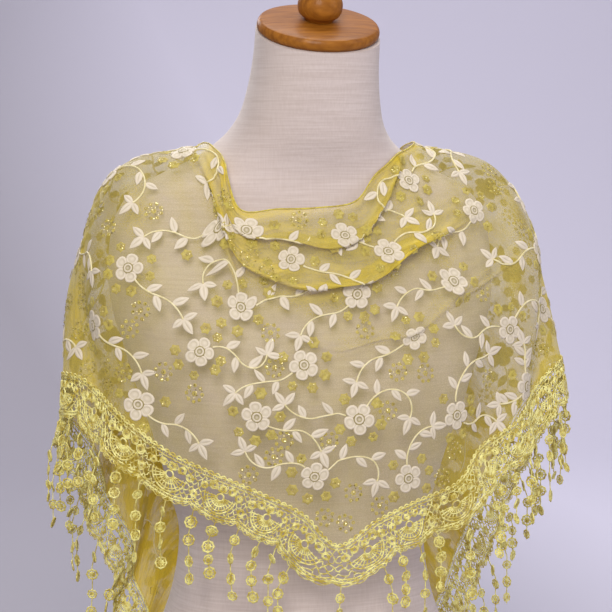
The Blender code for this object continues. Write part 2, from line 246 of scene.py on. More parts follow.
formSections = [                  # height, middle y, half width, half depth, degrees that it leans forward
    (-270, 4, 162, 112, 0), (-262, 4, 167, 116, 0), (-190, 4, 169, 117, 0), (-120, 2, 150, 106, 0),
    (-60, 0, 128, 93, 0), (0, -2, 120, 88, 0), (40, -3, 130, 94, 0), (83, -6, 142, 101, 0),
    (130, -10, 158, 110, 0), (185, -10, 175, 110, 0), (224, -7, 186, 104, 0), (262, -3, 188, 97, 2),
    (296, -2, 184, 89, 3), (320, -5, 174, 82, 4), (334, -9, 160, 76, 5), (347, -14, 136, 70, 7),
    (358, -20, 110, 65, 10), (370, -27, 92, 61, 13), (383, -34, 78, 59, 15), (400, -42, 68, 58.5, 18),
    (424, -50, 62, 58, 20), (452, -58, 58.5, 57.5, 20), (479, -65, 57.5, 57.5, 20),
]
formShape = {"squareness": 2.3, "sides": 128, "rings": 170, "seamGap": 0.3, "sharpFrom": 50}
capProfile = [                    # radius, height
    (54.5, 0), (57, 2.5), (57.6, 6), (56.4, 9.5), (53, 11.5), (36, 13), (24, 13),
]
knobProfile = [(13, 0), (14.5, 2), (19, 6), (21, 12), (20.5, 19), (16.5, 26), (9.5, 31), (3, 32.5)]


def linenFinish():                # slubbed linen in plain weave, unbleached: matt, with long level slubs
    finish, tree, shader = newMaterial("slubbedLinen", "#D3C4BB", Roughness=0.88, Sheen_Weight=0.25,
                                       Sheen_Roughness=0.6)
    place = addNode(tree, "ShaderNodeTexCoord").outputs["Object"]
    slub = addNode(tree, "ShaderNodeMapping", {"Vector": place, "Scale": (22, 22, 620)})    # 1.6 x 45 mm
    slubs = addNode(tree, "ShaderNodeTexNoise", {"Vector": slub, "Scale": 1.0, "Detail": 3.0})
    warp = addNode(tree, "ShaderNodeMapping", {"Vector": place, "Scale": (700, 700, 40)})   # 1.4 mm threads
    warps = addNode(tree, "ShaderNodeTexNoise", {"Vector": warp, "Scale": 1.0, "Detail": 2.0})
    weave = addNode(tree, "ShaderNodeMath", {0: warps, 1: 0.45, 2: slubs}, operation="MULTIPLY_ADD")
    woven = twoTone(tree, weave, 0.55, 0.95, "#C6B8B0", "#D6CAC4")
    cloud = addNode(tree, "ShaderNodeTexNoise", {"Vector": place, "Scale": 9.0, "Detail": 2.0})    # 110 mm
    worn = addNode(tree, "ShaderNodeMapRange", {0: cloud, 1: 0.3, 2: 0.7, 4: 0.35})
    linen = addNode(tree, "ShaderNodeMix", {0: worn, 6: woven, 7: toLinear("#BFB0AC")}, data_type="RGBA")
    bump = addNode(tree, "ShaderNodeBump", {"Strength": 0.2, "Distance": 0.0006, "Height": weave})
    feed(tree, shader, {"Base Color": linen.outputs[2], "Normal": bump})
    return finish


def woodFinish():                 # turned beech under honey varnish: a thin gloss over close grain
    finish, tree, shader = newMaterial("varnishedBeech", "#A0683A", Roughness=0.5, Coat_Weight=0.1,
                                       Coat_Roughness=0.15, Specular_IOR_Level=0.15)
    place = addNode(tree, "ShaderNodeTexCoord").outputs["Object"]
    grain = addNode(tree, "ShaderNodeMapping", {    # 4 to 8 mm across, 30 mm long
        "Vector": place, "Scale": (34, 260, 120), "Rotation": (0.3, 0.1, 0.15)})
    lines = addNode(tree, "ShaderNodeTexNoise", {
        "Vector": grain, "Scale": 1.0, "Detail": 5.0, "Roughness": 0.6})
    bump = addNode(tree, "ShaderNodeBump", {"Strength": 0.1, "Distance": 0.0003, "Height": lines})
    honey = twoTone(tree, lines, 0.32, 0.68, "#7E4A12", "#A66A22")
    feed(tree, shader, {"Base Color": honey, "Normal": bump})
    return finish


def sharpened(piece):
    piece.data.set_sharp_from_angle(angle=math.radians(formShape["sharpFrom"]))
    return piece


def turnedPiece(name, profile, seat, turn, finish, steps=5, sides=96):
    rows = np.array(profile, float)
    at = np.linspace(0, len(rows) - 1, steps * (len(rows) - 1) + 1)
    fine = blendWeights(np.arange(len(rows)), at) @ rows
    angles = np.array(evenAngles(sides))
    rings = [np.stack([r * np.cos(angles), r * np.sin(angles), np.full(sides, h)], 1) for r, h in fine]
    points = np.concatenate(rings) @ turn.T + seat
    piece = sharpened(makeMesh(name, points, ringFaces(len(rings), sides), finish))
    return piece, seat + turn @ (0, 0, rows[-1][1] + formShape["seamGap"])


def buildForm():
    rows = np.array(formSections, float)
    spread = np.linspace(0, len(rows) - 1, formShape["rings"])
    heights = np.interp(spread, np.arange(len(rows)), rows[:, 0])
    fine = blendWeights(rows[:, 0], heights) @ rows
    angles = np.array(evenAngles(formShape["sides"]))
    power = 2 / formShape["squareness"]
    across = np.sign(np.cos(angles)) * np.abs(np.cos(angles)) ** power
    along = np.sign(np.sin(angles)) * np.abs(np.sin(angles)) ** power
    rings = []
    for height, (_, middle, width, depth, lean) in zip(heights, fine):
        cos, sin = math.cos(math.radians(lean)), math.sin(math.radians(lean))
        flat = along * depth
        rings.append(np.stack([across * width, middle + flat * cos, height + flat * sin], 1))
    points, faces = np.concatenate(rings), ringFaces(len(heights), formShape["sides"])
    torso, wood = sharpened(makeMesh("linenTorso", points, faces, linenFinish())), woodFinish()
    height, middle, _, _, lean = rows[-1]
    turn = np.array(Matrix.Rotation(math.radians(lean), 3, "X"))
    seat = np.array((0, middle, height)) + turn @ (0, 0, formShape["seamGap"])
    cap, seat = turnedPiece("neckCap", capProfile, seat, turn, wood)
    knob, _ = turnedPiece("capKnob", knobProfile, seat, turn, wood)
    onRoot(torso, "linen_cover", "form_torso")
    onRoot(cap, "varnished_wood", "form_neck_cap")
    onRoot(knob, "varnished_wood", "form_finial")
    print("dress form done")
    return torso, BVHTree.FromPolygons(points.tolist(), faces)


# the net: t runs along its long edge from the left tail, -1, to the right one, 1, and v down from there, 0,
# to the border, 1

netCut = {
    "halfLength": 750, "depth": 440, "tipShare": 0.97, "shoulderShare": 0.28,
    "columns": 381, "measured": 400, "rows": 181, "fineRows": 135, "fineDown": 0.6,
    "restGap": 0.9, "layerGap": 0.3,
}
ribStops = (0.0, 0.33, 0.67, 1.0)
middleRib = (0, (-10, -105, 319), (-4, -126, 225), (0, -141, 118), (0, -138, 8))
leftRibs = [                      # share of the half edge, then x outwards, y and height at the four stops
    (0.05, (47, -104, 318), (43, -124, 226), (38, -140, 130), (32, -137, 38)),
    (0.10, (82, -98, 318), (80, -118, 232), (76, -136, 148), (70, -132, 58)),
    (0.15, (87, -72, 357), (103, -104, 262), (112, -126, 168), (108, -122, 75)),
    (0.20, (93, -38, 373), (132, -70, 312), (156, -102, 205), (148, -106, 93)),
    (0.25, (98, -2, 377), (170, -30, 350), (200, -62, 250), (180, -88, 119)),
    (0.30, (96, 34, 366), (184, 2, 346), (216, -24, 256), (206, -66, 143)),
    (0.35, (92, 62, 341), (176, 44, 330), (217, 12, 256), (224, -32, 160)),
    (0.42, (88, 84, 290), (156, 78, 288), (208, 56, 232), (226, 28, 147)),
    (0.52, (86, 100, 217), (134, 100, 226), (184, 92, 184), (208, 80, 100)),
    (0.64, (84, 110, 127), (120, 112, 132), (154, 106, 96), (172, 94, 27)),
    (0.76, (84, 114, 40), (108, 116, 38), (131, 110, 6), (148, 100, -45)),
    (0.88, (92, 115, -49), (106, 115, -58), (121, 112, -78), (135, 106, -105)),
    (0.97, (108, 112, -125), (113, 112, -129), (118, 110, -134), (124, 108, -141)),
]
rightRibs = [
    (0.05, (27, -98, 324), (36, -122, 236), (42, -140, 135), (38, -136, 29)),
    (0.10, (49, -82, 346), (72, -110, 258), (82, -135, 150), (78, -131, 45)),
    (0.15, (73, -58, 364), (105, -90, 290), (124, -122, 172), (122, -119, 59)),
    (0.20, (101, -33, 374), (140, -62, 324), (164, -98, 212), (150, -110, 90)),
    (0.25, (110, 2, 377), (180, -26, 352), (214, -60, 256), (184, -92, 109)),
    (0.30, (108, 38, 366), (200, 6, 346), (238, -22, 262), (216, -66, 133)),
    (0.35, (104, 66, 340), (196, 46, 330), (244, 14, 258), (244, -40, 156)),
    (0.42, (100, 88, 289), (176, 80, 292), (240, 56, 232), (264, 16, 158)),
    (0.52, (98, 102, 215), (150, 104, 224), (208, 96, 182), (256, 72, 113)),
    (0.64, (98, 110, 125), (140, 113, 134), (186, 106, 100), (228, 92, 45)),
    (0.76, (102, 114, 38), (134, 116, 40), (168, 110, 12), (200, 100, -30)),
    (0.88, (116, 115, -51), (136, 115, -55), (158, 110, -73), (176, 106, -95)),
    (0.97, (138, 112, -128), (143, 112, -131), (149, 110, -135), (156, 108, -140)),
]
# Folds of the cowl: where each starts, hangs lowest and ends along the long edge, how far down its crest is
# there, its height, its reach above and below the crest, how far the cloth laps over itself, how much the
# crest wanders, and how dense the fold looks.
cowlFolds = [
    {"left": -0.21, "lowest": -0.01, "right": 0.22, "vLeft": 0.02, "vLowest": 0.11, "vRight": 0.03,
     "height": 10, "above": 0.06, "below": 0.036, "lap": 0.04, "wander": 0.012, "phase": 0.4, "dense": 0.4},
    {"left": -0.25, "lowest": 0.01, "right": 0.25, "vLeft": 0.06, "vLowest": 0.25, "vRight": 0.5,
     "height": 13, "above": 0.075, "below": 0.046, "lap": 0.052, "wander": 0.014, "phase": 2.1,
     "dense": 0.46},
    {"left": -0.06, "lowest": 0.1, "right": 0.27, "vLeft": 0.4, "vLowest": 0.5, "vRight": 0.7,
     "height": 4, "above": 0.05, "below": 0.034, "lap": 0.012, "wander": 0.014, "phase": 4.0, "dense": 0.14},
]
pleats = {"height": 1.1, "across": 34, "drift": 2.6}    # small pleats that run along the cowl folds
netDense = {                      # how much the net hides of what lies behind it, from front to tails
    "front": 0.22, "side": 0.56, "tail": 0.84,
    "sideFrom": 0.20, "sideFull": 0.36, "tailFrom": 0.45, "tailFull": 0.7,
    "edge": 0.30, "edgeWidth": 0.022, "shoulder": 0.34, "most": 0.90,
}
gathers = [                       # share of the half edge, height, width, reach down
    (0.140, 3.5, 0.010, 0.30), (0.178, -3.0, 0.011, 0.24), (0.212, 4.0, 0.011, 0.34),
    (0.252, -3.0, 0.012, 0.26), (0.292, 3.5, 0.012, 0.30),
]
flutes = [                        # share of the half edge, height, width
    (0.195, -4, 0.024), (0.255, 5, 0.024), (0.315, -6, 0.022), (0.372, 8, 0.024), (0.435, -9, 0.026),
    (0.500, 10, 0.028), (0.570, -10, 0.030), (0.645, 10, 0.030), (0.720, -9, 0.030), (0.795, 8, 0.028),
    (0.865, -6, 0.028), (0.930, 5, 0.024),
]
creases = [                       # on the flat cut: from x, y to x, y, then height and width
    (-150, 20, -60, 150, 2.2, 9), (-175, 60, -95, 190, -1.8, 10), (-190, 90, -150, 240, 2.0, 11),
    (-120, 15, -20, 95, 1.6, 7), (150, 25, 60, 130, 2.0, 8), (178, 60, 105, 180, -1.8, 10),
    (195, 110, 160, 260, 2.0, 12), (110, 60, 10, 140, 1.5, 8), (-60, 210, 40, 300, 0.9, 14),
    (90, 200, 20, 310, 0.8, 13), (-230, 60, -250, 250, 2.5, 12), (235, 70, 262, 240, 2.5, 12),
    (-290, 30, -330, 220, -2.2, 12), (300, 40, 345, 210, -2.2, 13), (-400, 20, -430, 150, 1.8, 11),
    (405, 25, 440, 150, 1.9, 12), (-500, 20, -520, 110, -1.6, 10), (510, 20, 535, 110, -1.6, 10),
    (-205, 15, -150, 60, 2.0, 6), (205, 18, 160, 70, 2.0, 6), (-165, 12, -110, 60, -1.6, 6),
    (172, 14, 118, 60, -1.5, 6), (-40, 60, 60, 66, 1.2, 6), (-70, 135, 70, 142, 1.0, 7),
]


def ribTable():
    rows = [(-rib[0], -1, rib) for rib in reversed(leftRibs)] + [(0, 1, middleRib)]
    rows += [(rib[0], 1, rib) for rib in rightRibs]
    points = [[(side * stop[0], stop[1], stop[2]) for stop in rib[1:]] for _, side, rib in rows]
    return np.array([row[0] for row in rows]), np.array(points, float).transpose(1, 0, 2)


ribKnots, ribPoints = ribTable()


def clothBase(t, v):
    stops = np.einsum("nk,skc->nsc", blendWeights(ribKnots, t), ribPoints)
    return np.einsum("ns,nsc->nc", blendWeights(ribStops, v), stops)


def clothNormal(t, v):
    along = clothBase(t + 0.006, v) - clothBase(t - 0.006, v)
    down = clothBase(t, np.minimum(v + 0.02, 1)) - clothBase(t, np.maximum(v - 0.02, 0))
    return normalised(np.cross(down, along))


def cowlFold(t, v):               # how far the lapped folds carry the cloth down and out, and how dense
    shift, height, dense = np.zeros(len(t)), np.zeros(len(t)), np.zeros(len(t))
    for fold in cowlFolds:
        leftwards, phase = t < fold["lowest"], fold["phase"]
        end = np.where(leftwards, fold["left"], fold["right"])
        vEnd = np.where(leftwards, fold["vLeft"], fold["vRight"])
        reach = np.clip((t - fold["lowest"]) / (end - fold["lowest"]), 0, 1)
        crest = fold["vLowest"] + (vEnd - fold["vLowest"]) * reach**2
        crest = crest + fold["wander"] * (np.sin(t * 27 + phase) + 0.5 * np.sin(t * 61 + 2 * phase))
        fade = eased((1 - reach) * 2)
        lap = fold["lap"] * (0.8 + 0.35 * np.sin(t * 21 + 3 * phase))
        u = (v - crest) / fold["below"]
        shift -= lap * fade * math.sqrt(2 * math.e) * u * np.exp(-u * u)
        rise = np.where(v < crest, bell(v - crest, fold["above"]), 1)
        height += fold["height"] * fade * rise * (1 - eased((u + 0.7) / 1.6))
        near = bell(v - crest + 0.25 * fold["above"], fold["above"]) * fade
        drift = pleats["drift"] * np.sin(t * 17 + phase)
        wave = np.sin(tau * (v - crest) * pleats["across"] + drift)
        height += pleats["height"] * near * wave
        dense = np.maximum(dense, fold["dense"] * near * (0.82 + 0.18 * wave))
    return shift, height, dense


def clothDense(t, v):             # the share of what lies behind that the net hides, point by point
    share = np.abs(t)
    _, _, folds = cowlFold(t, v)
    side = eased((share - netDense["sideFrom"]) / (netDense["sideFull"] - netDense["sideFrom"]))
    tail = eased((share - netDense["tailFrom"]) / (netDense["tailFull"] - netDense["tailFrom"]))
    dense = netDense["front"] + (netDense["side"] - netDense["front"]) * side
    dense += (netDense["tail"] - netDense["side"]) * tail + folds
    dense += netDense["edge"] * bell(v, netDense["edgeWidth"])
    streaks = 0.6 + 0.4 * np.sin(share * 130 + 3 * np.sin(v * 9))
    dense += netDense["shoulder"] * bell(share - 0.165, 0.055) * bell(v, 0.17) * streaks
    dense += 0.07 * side * np.sin(share * 95 + 4 * v) * np.sin(v * 13 + share * 20)
    dense += 0.06 * np.abs(creaseHeight(*flatPlace(t, v)))
    return np.minimum(dense, netDense["most"])


def creaseHeight(x, y):
    height = np.zeros(len(x))
    for x0, y0, x1, y1, size, width in creases:
        run = np.array((x1 - x0, y1 - y0), float)
        share = np.clip(((x - x0) * run[0] + (y - y0) * run[1]) / (run @ run), 0, 1)
        off = np.hypot(x - x0 - share * run[0], y - y0 - share * run[1])
        height += size * bell(off, width) * (0.35 + 0.65 * np.sin(math.pi * share))
    return height


def clothPoints(t, v, form):
    shift, height, _ = cowlFold(t, v)
    lowered = np.clip(v + shift, 0, 1)
    normal = clothNormal(t, lowered)
    small = np.zeros(len(t))
    share = np.abs(t)
    for at, size, width, reach in gathers:
        small += size * bell(share - at, width) * bell(v, reach) * (0.4 + 0.6 * eased(v / 0.06))
    for at, size, width in flutes:
        small += size * bell(share - at, width) * eased((v - 0.25) / 0.75)
    x, y = flatPlace(t, v)
    small += creaseHeight(x, y)
    points = clothBase(t, lowered) + normal * (height + small)[:, None]
    for n, (point, lift) in enumerate(zip(points.tolist(), height * netCut["layerGap"] + netCut["restGap"])):
        near, out, _, distance = form.find_nearest(point)
        if distance < lift or (Vector(point) - near).dot(out) < 0:
            points[n] = near + out * lift
    return points


def flatPlace(t, v):
    return t * netCut["halfLength"], v * netCut["depth"] * (1 - np.abs(t))


def buildNetGrid(form):           # rows of points spaced by the cloth's own length down each column
    t = np.linspace(-netCut["tipShare"], netCut["tipShare"], netCut["columns"])
    v = np.linspace(0, 1, netCut["measured"])
    gridT, gridV = (a.ravel() for a in np.meshgrid(t, v, indexing="ij"))
    measured = clothPoints(gridT, gridV, form).reshape(len(t), len(v), 3)
    reach = np.cumsum(np.linalg.norm(np.diff(measured, axis=1), axis=2), axis=1)
    reach = np.concatenate([np.zeros((len(t), 1)), reach], axis=1)
    fine = np.linspace(0, netCut["fineDown"], netCut["fineRows"], endpoint=False)
    share = np.concatenate([fine, np.linspace(netCut["fineDown"], 1, netCut["rows"] - len(fine))])
    lowered = np.stack([np.interp(share, column / column[-1], v) for column in reach])
    gridT = np.repeat(t, len(share))
    points = np.stack([np.stack([np.interp(row, v, column[:, c]) for c in range(3)], 1)
                       for row, column in zip(lowered, measured)])
    along = np.gradient(points, t, axis=0)
    down = np.gradient(points, share, axis=1)
    return {"t": t, "v": share, "points": points, "normals": normalised(np.cross(down, along)),
            "dense": clothDense(gridT, lowered.ravel()), "lowered": lowered, "long": reach[:, -1]}


def onNet(net, x, y, lift=0.0):   # places on the cloth for places on the flat cut, and if they are on it
    x, y = np.asarray(x, float), np.asarray(y, float)
    t = x / netCut["halfLength"]
    v = y / np.maximum(netCut["depth"] * (1 - np.abs(t)), 1)
    inside = (np.abs(t) < netCut["tipShare"]) & (v >= 0) & (v <= 1)
    i = np.clip(np.interp(t, net["t"], np.arange(len(net["t"]))), 0, len(net["t"]) - 1.001)
    j = np.clip(np.interp(v, net["v"], np.arange(len(net["v"]))), 0, len(net["v"]) - 1.001)
    i0, j0 = i.astype(int), j.astype(int)
    a, b = (i - i0)[:, None], (j - j0)[:, None]
    found = []
    for grid in (net["points"], net["normals"]):
        near = grid[i0, j0] * (1 - a) + grid[i0 + 1, j0] * a
        far = grid[i0, j0 + 1] * (1 - a) + grid[i0 + 1, j0 + 1] * a
        found.append(near * (1 - b) + far * b)
    normals = normalised(found[1])
    return found[0] + normals * np.broadcast_to(lift, len(x))[:, None], normals, inside


def cutScale(net):                # turns offsets on the cloth into offsets on the flat cut
    t, v = net["t"], net["v"]
    gridT, gridV = np.meshgrid(t, v, indexing="ij")
    base = clothBase(gridT.ravel(), net["lowered"].ravel()).reshape(len(t), len(v), 3)
    alongT, downV = np.gradient(base, t, axis=0), np.gradient(base, v, axis=1)
    left = (1 - np.abs(gridT))[..., None]
    ahead = (alongT + downV * gridV[..., None] * np.sign(gridT)[..., None] / left) / netCut["halfLength"]
    rate = net["long"][:, None, None] / (netCut["depth"] * left)
    stretch = np.linalg.norm(ahead, axis=2)
    lean = np.einsum("ijc,ijc->ij", normalised(downV) * rate, ahead) / stretch
    rise = np.sqrt(np.maximum(rate[..., 0] ** 2 - lean**2, 0.01))
    stretch, rise = np.clip(stretch, 0.5, 2.2), np.clip(rise, 0.5, 2.2)
    lean = np.clip(lean, -0.8, 0.8)
    return {"t": t, "v": v, "steps": np.stack([1 / stretch, -lean / (stretch * rise), 1 / rise], 2)}


def onCutOffset(scale, x, y, across, down):
    t = x / netCut["halfLength"]
    v = y / max(netCut["depth"] * (1 - abs(t)), 1)
    i = min(np.searchsorted(scale["t"], t), len(scale["t"]) - 1)
    j = min(np.searchsorted(scale["v"], v), len(scale["v"]) - 1)
    first, second, third = scale["steps"][i, j]
    return first * across + second * down, third * down


def netFinish():                  # silk-like sheer net, piece-dyed: denser and more golden where it gathers
    finish, tree, shader = newMaterial("sheerYellowNet", "#C6B437", Roughness=0.5, Sheen_Weight=0.3,
                                       Sheen_Roughness=0.4)
    shader.inputs["Sheen Tint"].default_value = toLinear("#F2EA8C")
    cut = addNode(tree, "ShaderNodeUVMap", uv_map="cut")
    dense = addNode(tree, "ShaderNodeAttribute", attribute_name="dense").outputs["Fac"]
    side = addNode(tree, "ShaderNodeAttribute", attribute_name="side").outputs["Fac"]
    fine = addNode(tree, "ShaderNodeMapping", {      # 1.9 mm, drawn coarse to show
        "Vector": cut, "Scale": (520, 520, 1)})
    cells = addNode(tree, "ShaderNodeTexVoronoi", {"Vector": fine, "Scale": 1.0}, feature="DISTANCE_TO_EDGE")
    holes = cells.outputs["Distance"]
    folds = []
    for size in ((30, 125, 1), (120, 22, 1)):        # 8 mm creases along the cowl, and down the sides
        pulled = addNode(tree, "ShaderNodeMapping", {"Vector": cut, "Scale": size})
        folds.append(addNode(tree, "ShaderNodeTexNoise", {
            "Vector": pulled, "Scale": 1.0, "Detail": 2.0, "Distortion": 0.8}))
    creased = addNode(tree, "ShaderNodeMix", {0: side, 2: folds[0], 3: folds[1]}, data_type="FLOAT")
    swing = addNode(tree, "ShaderNodeMapRange", {0: creased, 1: 0.3, 2: 0.7, 3: -0.5, 4: 0.5})
    strength = addNode(tree, "ShaderNodeMapRange", {0: dense, 1: 0.30, 2: 0.70, 3: 0.03, 4: 0.45})
    calm = addNode(tree, "ShaderNodeMapRange", {0: side, 3: 1.0, 4: 0.45})
    most = addNode(tree, "ShaderNodeMath", {0: strength, 1: calm}, operation="MULTIPLY")
    crumple = addNode(tree, "ShaderNodeMath", {0: swing, 1: most}, operation="MULTIPLY")
    threads = addNode(tree, "ShaderNodeMapRange", {0: holes, 1: 0.02, 2: 0.22, 3: 0.10, 4: -0.03})
    cloud = addNode(tree, "ShaderNodeTexNoise", {"Vector": cut, "Scale": 38.0, "Detail": 3.0})    # 26 mm
    patchy = addNode(tree, "ShaderNodeMapRange", {0: cloud, 1: 0.3, 2: 0.7, 3: 0.82, 4: 1.2})
    meshed = addNode(tree, "ShaderNodeMath", {0: dense, 1: patchy, 2: threads}, operation="MULTIPLY_ADD")
    cover = addNode(tree, "ShaderNodeMath", {0: meshed, 1: crumple}, operation="ADD", use_clamp=True)
    bump = addNode(tree, "ShaderNodeBump", {"Strength": 0.25, "Distance": 0.0005, "Height": holes})
    rough = addNode(tree, "ShaderNodeBump", {
        "Strength": 0.8, "Distance": 0.004, "Height": crumple, "Normal": bump})
    colour = twoTone(tree, meshed, 0.32, 0.9, "#D5C568", "#D9BE2C")
    feed(tree, shader, {"Base Color": colour, "Alpha": cover, "Normal": rough})
    return finish


def buildNet(net):
    columns, rows = len(net["t"]), len(net["v"])
    piece = makeMesh("sheerNet", net["points"].reshape(-1, 3), gridFaces(columns, rows), netFinish())
    t, v = (a.ravel() for a in np.meshgrid(net["t"], net["v"], indexing="ij"))
    setUv(piece, np.stack(flatPlace(t, v), 1) * mm)
    setAttribute(piece, "dense", "FLOAT", net["dense"])
    setAttribute(piece, "side", "FLOAT", eased((np.abs(t) - 0.13) / 0.07))
    onRoot(piece, "sheer_net", "net_front_left", "net_front_right", "net_back_left", "net_back_right")
    print("net done:", columns * rows, "points")
    return piece


# growing threads and scattering motifs by Geometry Nodes

def newTree(name, result, **kinds):    # a tree with named inputs, and its input sockets
    tree = bpy.data.node_groups.new(name, "GeometryNodeTree")
    for key, kind in kinds.items():
        tree.interface.new_socket(key, in_out="INPUT", socket_type="NodeSocket" + kind)
    tree.interface.new_socket(result, in_out="OUTPUT", socket_type="NodeSocketGeometry")
    return tree, addNode(tree, "NodeGroupInput").outputs


def endTree(tree, shape, finish):
    real = addNode(tree, "GeometryNodeRealizeInstances", {"Geometry": shape})
    done = addNode(tree, "GeometryNodeSetMaterial", {"Geometry": real, "Material": finish})
    addNode(tree, "NodeGroupOutput", {0: done})
    return tree


def pointValue(tree, name, kind):
    node = addNode(tree, "GeometryNodeInputNamedAttribute", {"Name": name}, data_type=kind)
    return node.outputs["Attribute"]


def threadTubeTree():             # runs of edges become round threads, as wide as each point says
    tree, given = newTree("threadTube", "Threads", Runs="Geometry", Thickness="Float", Sides="Int",
                          Finish="Material")
    lines = addNode(tree, "GeometryNodeMeshToCurve", {"Mesh": given["Runs"]})
    radius = addNode(tree, "ShaderNodeMath", {
        0: pointValue(tree, "width", "FLOAT"), 1: given["Thickness"]}, operation="MULTIPLY")
    sized = addNode(tree, "GeometryNodeSetCurveRadius", {"Curve": lines, "Radius": radius})
    ring = addNode(tree, "GeometryNodeCurvePrimitiveCircle", {"Resolution": given["Sides"], "Radius": 1.0})
    tube = addNode(tree, "GeometryNodeCurveToMesh", {
        "Curve": sized, "Profile Curve": ring, "Fill Caps": True})
    if "Scale" in tube.inputs:    # newer trees size the profile here and not by the curve's radius
        feed(tree, tube, {"Scale": addNode(tree, "GeometryNodeInputRadius")})
    smooth = addNode(tree, "GeometryNodeSetShadeSmooth", {"Geometry": tube, "Shade Smooth": True})
    return endTree(tree, smooth, given["Finish"])


def motifTree():                  # a motif on each point, turned and sized by the point's own values
    tree, given = newTree("motifOnPoints", "Motifs", Points="Geometry", Motif="Object", Size="Float",
                          Finish="Material")
    motif = addNode(tree, "GeometryNodeObjectInfo", {"Object": given["Motif"]}).outputs["Geometry"]
    turned = addNode(tree, "FunctionNodeEulerToRotation", {0: pointValue(tree, "turn", "FLOAT_VECTOR")})
    size = addNode(tree, "ShaderNodeMath", {
        0: pointValue(tree, "width", "FLOAT"), 1: given["Size"]}, operation="MULTIPLY")
    placed = addNode(tree, "GeometryNodeInstanceOnPoints", {
        "Points": given["Points"], "Instance": motif, "Rotation": turned, "Scale": size})
    return endTree(tree, placed, given["Finish"])


def grown(name, base, tree, settings):
    grower = base.modifiers.new("grower", "NODES")
    grower.node_group = tree
    for item in tree.interface.items_tree:
        if item.in_out == "INPUT" and item.name in settings:
            grower[item.identifier] = settings[item.name]
    bpy.context.view_layer.update()
    mesh = bpy.data.meshes.new_from_object(base.evaluated_get(bpy.context.evaluated_depsgraph_get()))
    mesh.name = name
    bpy.data.objects.remove(base)
    return addObject(name, mesh)


def pointPiece(name, points, edges, attributes):
    mesh = bpy.data.meshes.new(name)
    mesh.from_pydata(toWorld(points).tolist(), edges, [])
    piece = addObject(name, mesh)
    for key, kind, values in attributes:
        setAttribute(piece, key, kind, values)
    return piece


def threadPiece(name, runs, thickness, finish, sides=5):    # runs: points, whether they close, width
    points, edges, widths = [], [], []
    for run, closed, width in runs:
        start, count = len(points), len(run)
        points.extend(run)
        widths.extend([width] * count)
        edges.extend((start + n, start + n + 1) for n in range(count - 1))
        if closed:
            edges.append((start + count - 1, start))
    base = pointPiece(name + "Runs", points, edges, [("width", "FLOAT", widths)])
    return grown(name, base, threadTube, {"Thickness": thickness * mm, "Sides": sides, "Finish": finish})


def scatterPiece(name, motif, points, alongs, normals, widths, finish):
    turns = []
    for along, normal in zip(alongs, normals):
        across = Vector(normal).cross(Vector(along)).normalized()
        along = across.cross(Vector(normal))
        turns.append(Matrix((along, across, Vector(normal))).transposed().to_euler())
    values = [("turn", "FLOAT_VECTOR", turns), ("width", "FLOAT", widths)]
    base = pointPiece(name + "Points", points, [], values)
    piece = grown(name, base, motifOnPoints, {"Motif": motif, "Size": 1.0, "Finish": finish})
    bpy.data.objects.remove(motif)
    return piece


# embroidery: an all-over repeat of our own, sprigs on a staggered lattice, worked on the flat cut

sprigSizes = {
    "columnPitch": 94, "rowPitch": 68, "rows": 7, "firstColumn": 18, "firstRow": 30, "margin": 3,
    "strayAcross": 8, "strayDown": 7, "flowerMargin": 15, "stemFrom": 13, "leafReach": 12, "seed": 14,
    "petals": 5, "petalOut": 8.6, "petalLong": 5.5, "petalWide": 5.9, "leafLong": 16.5, "leafWide": 8.0,
    "stemStep": 3.0, "stemThick": 0.9, "blossomOut": 22, "blossomsRound": 8, "fleckGroups": 90,
    "leafLean": 52, "fewestSteps": 6, "tries": 6000,
}
# the radius that each motif takes up, and the room that is kept around it
takes = {"flower": 14, "stem": 2.2, "leaf": 4, "end": 9, "blossom": 5.5, "flecks": 10}
needs = {"stem": 2.5, "leaf": 4, "end": 11, "blossom": 3.6, "flecks": 7.5}
sprigStems = [                    # way out of the flower, length and turn of bends, share and side of leaves
    [{"out": 262, "bends": [(22, 26), (34, -95), (24, -40)],
      "leaves": [(0.2, 1), (0.34, -1), (0.52, 1), (0.68, -1)]},
     {"out": 32, "bends": [(26, -34), (34, 58)], "leaves": [(0.28, -1), (0.44, 1), (0.7, -1)]}],
    [{"out": 205, "bends": [(30, -48), (34, 84)], "leaves": [(0.22, 1), (0.42, -1), (0.64, 1)]},
     {"out": 318, "bends": [(18, 20), (30, 70), (20, 60)], "leaves": [(0.26, -1), (0.44, 1), (0.68, -1)]}],
    [{"out": 148, "bends": [(24, 40), (32, -74)], "leaves": [(0.28, -1), (0.48, 1), (0.7, -1)]},
     {"out": 286, "bends": [(30, -52), (26, -60), (18, 20)],
      "leaves": [(0.18, 1), (0.34, -1), (0.54, 1), (0.7, -1)]}],
]
trefoil = [(0, 1.0), (78, 0.86), (-78, 0.86)]     # the leaves at a stem's end: degrees and size
hemSizes = {"steps": 700, "lift": 0.5, "thick": 0.7}


def petalShape(around=14):        # local x outwards, y, lift and tone, where 1 is khaki: an outline round the rim, partly painted shade between the petals
    # the rim's khaki tone is an outline and painted shade; a greyer ring sits in the dip inside it
    rows = [(1.0, 0.1, 0.55), (0.93, 0.9, 0.0), (0.7, 1.05, 0.0), (0.58, 0.65, 0.3), (0.36, 0.75, 0.16)]
    points = []
    for scale, lift, tone in rows:
        for angle in evenAngles(around):
            long = sprigSizes["petalLong"] * scale * math.cos(angle)
            wide = sprigSizes["petalWide"] * scale * math.sin(angle) * (1 + 0.12 * math.cos(angle))
            points.append((sprigSizes["petalOut"] + long, wide, lift, tone))
    return points + [(sprigSizes["petalOut"], 0, 1.15, 0)], discFaces(len(rows), around)


